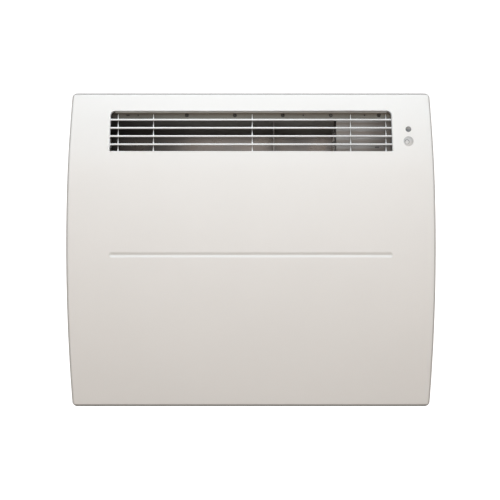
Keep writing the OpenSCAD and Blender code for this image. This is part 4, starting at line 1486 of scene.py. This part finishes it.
@dataclass(frozen=True)
class Lead:
    """One inner lead: its node, its sleeve, its route's corners and the ends that are crimped."""

    node: str
    slot: str
    sleeve: Silicone
    corners: tuple[Point3, ...]
    crimps: tuple[int, ...] = ()
    radius: float = 1.3
    crimp_radius: float = 2.1
    crimp_steps: tuple[float, ...] = (0.3, 0.9, 8.2, 9.4)

    def route(self) -> list[Vector]:
        """Rounds the route's corners.

        Returns:
            Its points.
        """
        points = [Vector(c) for c in self.corners]
        for _ in range(4):
            cut = [points[0]]
            for a, b in zip(points, points[1:]):
                cut += [a.lerp(b, 0.25), a.lerp(b, 0.75)]
            points = cut + [points[-1]]
        return points

    def build(self) -> None:
        """Makes the lead, and a crimped sleeve at the ends that have one."""
        name = self.node + "_sleeved"
        form = Form().tube(self.route(), self.radius).outward()
        form.piece(name, self.sleeve, self.slot, stands_for=(self.node,), sharp=60)
        if self.crimps:
            form = Form.joined(self.crimp(end) for end in self.crimps).outward()
            form.piece(self.node + "_crimps", CRIMP, "holder_plastic")

    def crimp(self, end: int) -> Form:
        """Draws the crimped sleeve on an end of the lead.

        Args:
            end: 0 for its first corner, -1 for its last.

        Returns:
            The form.
        """
        tip = Vector(self.corners[end])
        away = (Vector(self.corners[1 if end == 0 else end - 1]) - tip).normalized()
        path = [tip + away * d for d in self.crimp_steps]
        return Form().tube(path, self.crimp_radius, 20).ease(0.4, 2, 50)


CRIMP = Moulded("crimp sleeve", (0.60, 0.58, 0.52), 0.4)
LEADS = (
    Lead("live_lead", "red_silicone", Silicone("red sleeve", (0.40, 0.035, 0.025)),
         ((209, -55.6, 148.9), (209, -55.6, 120.9), (232, -55.6, 80.9), (232, -55.6, 0),
          (232, -55.6, -62), (232, -57, -92), (208.3, -57, -92)), (-1,)),
    Lead("neutral_lead", "blue_silicone", Silicone("blue sleeve", (0.03, 0.11, 0.33)),
         ((149, -55.6, 148.9), (149, -55.6, 120.9), (143, -44, 50.9), (106.3, -38, 0),
          (97.3, -38, -39), (91.3, -37.6, -45), (76.3, -37.6, -45)), (-1,)),
    Lead("cutout_lead", "red_silicone", Silicone("red sleeve to the cut-out", (0.40, 0.035, 0.025)),
         ((43.7, -37.6, -45), (31.7, -37.6, -45), (-66.25, -38, -51), (-176.7, -38, -45),
          (-226, -44, -57), (-232, -57, -86), (-220, -57, -92), (-208.3, -57, -92)), (0, -1)),
    Lead("switch_lead", "black_silicone", Silicone("black sleeve", (0.02, 0.02, 0.021)),
         ((223, -55.6, 148.9), (223, -55.6, 120.9), (238, -49.6, 80.9), (238, -44, 0),
          (238, -44, -80), (222, -44, -139), (222, -36.3, -140))),
    Lead("probe_lead", "grey_silicone", Silicone("grey sleeve", (0.22, 0.22, 0.22)),
         ((219.1, -56.6, 148.9), (219.1, -56.6, 120.9), (244, -61.6, 80.9), (244, -61.6, -60),
          (238, -61.6, -140), (228, -57, -178), (228, -57, -191.7))),
)


@dataclass
class Boards:
    """The pieces soldered to the power board."""

    sleeve: Moulded
    film: Moulded
    solder: BareMetal
    cans: tuple[Point3, ...] = ((66, 5.0, 12.0), (79, 4.0, 9.0))
    films: tuple[tuple[float, ...], ...] = ((60, 76, 12, 19, 9), (60, 71, 22, 26, 6))
    chips: tuple[float, ...] = (52.0, 48.6, 45.2, 41.8, 38.4, 35.0)

    def build(self) -> None:
        """Makes capacitors and a row of resistors."""
        (left, y, z), _ = mm_box("power_board")
        cans = Form()
        for dx, r, length in self.cans:
            profile = ((0, -length), (r - 0.8, -length), (r, -length + 0.8), (r, -1.4),
                       (r - 0.5, -1.1), (r, -0.7), (r, 0.2), (0, 0.2))
            cans.join(Form().lathe(profile, Axis.Y, (left + dx, y, z + 38), 40))
        cans.outward().piece("capacitors", self.sleeve, "switch_plastic")
        film = Form()
        for x0, x1, z0, z1, rise in self.films:
            film.block((left + x0, y - rise, z + z0), (left + x1, y + 0.1, z + z1))
        film.ease(0.8, 3).outward().piece("film_capacitors", self.film, "clip_plastic")
        chips = Form.joined(Form().block((left + x, y - 0.9, z + 44),
                                         (left + x + 1.6, y + 0.1, z + 46.6)) for x in self.chips)
        chips.ease(0.15, 1).outward().piece("small_parts", self.solder, "stud_brass")


@dataclass(frozen=True)
class FloorPaint(Finish):
    """Matt paint that turns into a lit white backdrop far behind the heater."""

    near: Colour = (0.74, 0.735, 0.72)
    far: Colour = (0.93, 0.93, 0.93)

    def wire(self, g: Graph) -> None:
        """Wires the change from floor to lit backdrop.

        Args:
            g: the new material's nodes.
        """
        across = g.along("X")
        behind = g.along("Y").within(1.0, 1.65)
        lit = behind * (across * across).within(1.7, 0.95) * g.along("Z").within(1.6, 1.0)
        g.set(Base_Color=g.blend(behind, self.near, self.far), Roughness=0.8,
              Emission_Color=g.blend(lit, BLACK, self.far), Emission_Strength=0.95)


@dataclass
class Studio:
    """A pale floor, soft light and the camera at the photo's place."""

    reach: float = 2.3
    frame_width: float = 0.7153
    clearance: float = 420.0
    sensor: float = 36.0
    eye: Point2 = (-0.0014, -0.0004)
    aim: Point3 = (0, -0.1, 0.0)
    surround: Colour = (1.0, 0.95, 0.90)
    surround_strength: float = 0.30
    floor_half: float = 5000.0
    floor_front: float = -4000.0
    curve_start: float = 2400.0
    curve: float = 900.0
    wall_top: float = 4200.0

    def floor(self) -> None:
        """Makes the floor, with a far wall that rises from it in a curve."""
        z = CAD_BOX[0].z / MM - self.clearance
        start, r = self.curve_start, self.curve
        profile = [(self.floor_front + y, z) for y in arc(start - self.floor_front, 16)]
        profile += [(start + r * math.sin(a), z + r - r * math.cos(a))
                    for a in arc(math.pi / 2, 24)]
        profile += [(start + r, self.wall_top)]
        points = [(x, y, h) for y, h in profile for x in (-self.floor_half, self.floor_half)]
        faces = [(k, k + 1, k + 3, k + 2) for k in range(0, len(points) - 2, 2)]
        mesh = Form().add(points, faces).turn(Matrix.Scale(MM, 4)).mesh("floor")
        mesh.shade_smooth()
        mesh.materials.append(FloorPaint("floor").material())
        floor = linked("floor", mesh)

    def light(self, name: str, place: Point3, size: Point2, watts: float, colour: Colour) -> None:
        """Adds a soft rectangular light that faces the heater.

        Args:
            name: its name.
            place: where it hangs, in metres.
            size: its width and height.
            watts: its power.
            colour: its tint.
        """
        data = bpy.data.lights.new(name, "AREA")
        data.shape = "RECTANGLE"
        data.size, data.size_y = size
        data.energy = watts
        data.color = colour
        lamp = linked(name, data)
        lamp.location = place
        aim = Vector(self.aim) - Vector(place)
        lamp.rotation_euler = aim.to_track_quat("-Z", "Y").to_euler()

    def world(self) -> None:
        """Sets an even pale surround."""
        world = bpy.data.worlds.new("surround")
        world.use_nodes = True
        back = next(n for n in world.node_tree.nodes if n.type == "BACKGROUND")
        back.inputs["Color"].default_value = (*self.surround, 1)
        back.inputs["Strength"].default_value = self.surround_strength
        bpy.context.scene.world = world

    def camera(self) -> None:
        """Sets the camera square to the front, at the height of the heater's middle."""
        data = bpy.data.cameras.new("camera")
        data.sensor_width = self.sensor
        data.lens = self.sensor * self.reach / self.frame_width
        camera = linked("camera", data)
        camera.location = (self.eye[0], -self.reach - PLAN.depth * MM, self.eye[1])
        camera.rotation_euler = (math.pi / 2, 0, 0)
        bpy.context.scene.camera = camera

    def build(self) -> None:
        """Makes the whole studio."""
        self.floor()
        self.world()
        self.light("key", (0, -0.6, 0.5), (1.2, 0.3), 4.15, (0.79, 0.906, 1.0))
        self.light("fill", (0, -3.2, 0.2), (2.4, 1.6), 22.4, (1.0, 0.82, 0.69))
        bpy.context.scene.view_settings.view_transform = "Standard"
        self.camera()


PLATED = BareMetal("plated sheet", (0.66, 0.66, 0.66), 0.34, (1, 1, 0.05))
BOARD = Laminate("circuit board")
DARK = Moulded("dark moulding", (0.030, 0.030, 0.032), 0.42)
# Painted shade: the strut darker towards its top.
STRUT = Zinc("strut sheet", (0.355, 0.342, 0.335), 0.4, metallic=0.45,
             painted_shades=(("Z", 0.168, 0.152, 0.33),))
# Painted shade: the housing darker towards its right end and its top.
HOUSING = Moulded("housing", (0.265, 0.253, 0.241), 0.36, Surface.SPARK,
                  painted_shades=(("X", 0.188, 0.155, 0.5), ("Z", 0.19, 0.165, 0.78)))
POWDER = Enamel("powder coat", (0.62, 0.62, 0.61), 0.45, 900, 0.00008, 0.0)
NYLON = Moulded("ivory nylon", (0.70, 0.68, 0.63), 0.4)

DRESSES = (
    Dress("sensor_holder", "holder_plastic", Moulded("grey holder", (0.55, 0.55, 0.54), 0.5)),
    Dress("sensor_board", "board_laminate", BOARD, 0.2),
    Dress("heat_reflector", "reflector_zinc",
          Zinc("bright galvanised sheet", (0.70, 0.70, 0.69), 0.30), 0.25),
    Dress("deflector_strut", "deflector_zinc", STRUT, 0.2),
    Dress("finned_element", "fin_aluminium",
          BareMetal("mill aluminium", (0.72, 0.72, 0.73), 0.28, (1, 1, 0.06)), 0.25),
    Dress("element_pins", "pin_steel",
          BareMetal("tinted steel", (0.48, 0.46, 0.43), 0.32, (0.04, 1, 1)), 0.5),
    Dress("bush_left bush_right", "bush_ceramic", Ceramic("ceramic"), 0.6, 3),
    Dress("element_bracket_left element_bracket_right", "bracket_zinc", PLATED, 0.3),
    Dress("thermal_cutout", "cutout_phenolic",
          Moulded("phenolic", (0.10, 0.045, 0.022), 0.4), 0.25),
    Dress("control_bracket", "bracket_zinc", PLATED, 0.25),
    Dress("control_housing", "housing_plastic", HOUSING, 0.8, 3),
    Dress("display_module", "display_plastic", DARK, 0.3),
    Dress("keypad_board", "board_laminate", BOARD, 0.2),
    Dress("key_switches", "switch_plastic", DARK, 0.3),
    Dress("power_board", "board_laminate", BOARD, 0.2),
    Dress("relay", "relay_plastic", Moulded("relay blue", (0.02, 0.07, 0.32), 0.3), 0.7, 3),
    Dress("terminal_block", "terminal_plastic",
          Moulded("terminal grey", (0.36, 0.37, 0.37), 0.42), 0.5),
    Dress("mains_switch", "switch_plastic", DARK, 0.5),
    Dress("cable_gland", "gland_plastic",
          Moulded("gland black", (0.022, 0.022, 0.022), 0.5), 0.6, 3),
    Dress("earth_stud", "stud_brass",
          BareMetal("brass", (0.66, 0.47, 0.19), 0.26, (1, 0.05, 1)), 0.35),
    Dress("room_probe", "probe_resin", Moulded("probe resin", (0.02, 0.02, 0.02), 0.22), 1.2, 4),
    Dress("probe_clip", "clip_plastic", Moulded("white nylon", (0.72, 0.71, 0.68), 0.42), 0.4),
    Dress("wall_bracket", "wall_steel", POWDER, 0.45),
    Dress("lock_left", "lock_plastic", NYLON, 0.5, 3, body="left_lock"),
    Dress("lock_right", "lock_plastic", NYLON, 0.5, 3, body="right_lock"),
    Dress("cover_screws element_screws control_screws", "screw_zinc",
          BareMetal("screw zinc", (0.60, 0.61, 0.62), 0.28, (1, 1, 1))),
)

# The cover's darker lines along its side, top and bottom folds are painted shade.
COVER = FrontCover(Enamel("white enamel", fold_shades=(
    ("side", -0.0034, -0.00003, 0.8), ("Z", 0.2222, 0.22497, 0.5), ("Z", -0.2212, -0.22497, 0.4))))
# Painted shade: the grille darker towards the outlet's right end.
GRILLE = OutletGrille(
    Enamel("grille enamel", (0.94, 0.935, 0.925), 0.3, painted_shades=(("X", 0.155, 0.04, 0.82),)))
# Painted shade: the tinted window darker towards its bottom and its left, and the lens ring darker
# towards its top.
SENSORS = Sensors(
    Moulded("tinted window", (0.27, 0.27, 0.265), 0.2, Surface.SMOOTH, 0.5,
            painted_shades=(("Z", 0.1712, 0.1745, 0.5), ("X", 0.2232, 0.227, 0.75))),
    Lens("milky lens"),
    Moulded("lens ring", (0.44, 0.43, 0.42), 0.4, painted_shades=(("Z", 0.1565, 0.1515, 0.25),)))
# Painted light: the upright part is brightest near the middle as a painted sheen, darker towards
# both ends and its top; the slope is darker towards its left and its bottom as painted shade.
DEFLECTOR = Deflector(
    Zinc("deflector sheet with painted sheen", (0.215, 0.209, 0.204), 0.30, 55.0, 0.08, 0.6,
         (("X", -0.215, -0.02, 0.14), ("X", -0.195, -0.02, 0.45), ("X", 0.06, -0.01, 0.75),
          ("Z", 0.169, 0.152, 0.34))),
    Zinc("deflector sheet with painted shade", (0.3375, 0.324, 0.304), 0.5, 55.0, 0.1, 0.3,
         (("X", -0.22, -0.04, 0.33), ("X", 0.0, 0.09, 0.74), ("Z", 0.162, 0.186, 0.5))))
# Painted shade: the rail strip and rivets darker towards the left, with a painted shadow past the
# left upright.
DULL = Zinc("dull zinc", (0.135, 0.13, 0.11), 0.5, 95.0, 0.1, 0.3,
            (("X", -0.193, -0.191, 0.15), ("X", -0.185, -0.11, 0.6)))
# The dark mouldings at the rail's holes are painted shade.
RAIL = TopRail(DULL, Enamel("lip enamel", (0.97, 0.965, 0.93), 0.4), DULL,
               Moulded("painted hole shade", (0.015, 0.015, 0.015), 0.6))
CASING = RearCasing(Zinc("galvanised sheet"))
CONTROLS = Controls(
    Moulded("satin bezel", (0.80, 0.795, 0.78), 0.3),
    Moulded("smoked acrylic", (0.006, 0.006, 0.007), 0.06, Surface.SMOOTH, 0.8),
    Moulded("satin keys", (0.68, 0.68, 0.67), 0.34),
    Moulded("dark print", (0.03, 0.03, 0.03), 0.5),
    Moulded("clip black", (0.03, 0.03, 0.03), 0.4),
    Moulded("pale segments", (0.72, 0.80, 0.82), 0.4))
ROCKER = Rocker(Moulded("glossy black", (0.010, 0.010, 0.011), 0.14, Surface.SMOOTH, 0.5),
                Moulded("white print", (0.75, 0.75, 0.74), 0.45))
BOARDS = Boards(DARK, Moulded("film yellow", (0.62, 0.46, 0.06), 0.35),
                BareMetal("solder", (0.6, 0.6, 0.6), 0.3))


def main() -> None:
    """Builds the dressed heater and its studio."""
    logging.basicConfig(level=logging.INFO, format="%(name)s: %(message)s")
    for part in (COVER, GRILLE, SENSORS, DEFLECTOR, RAIL, CASING, *DRESSES, CONTROLS, ROCKER,
                 *LEADS, BOARDS, Studio()):
        part.build()


if __name__ == "__main__":
    main()
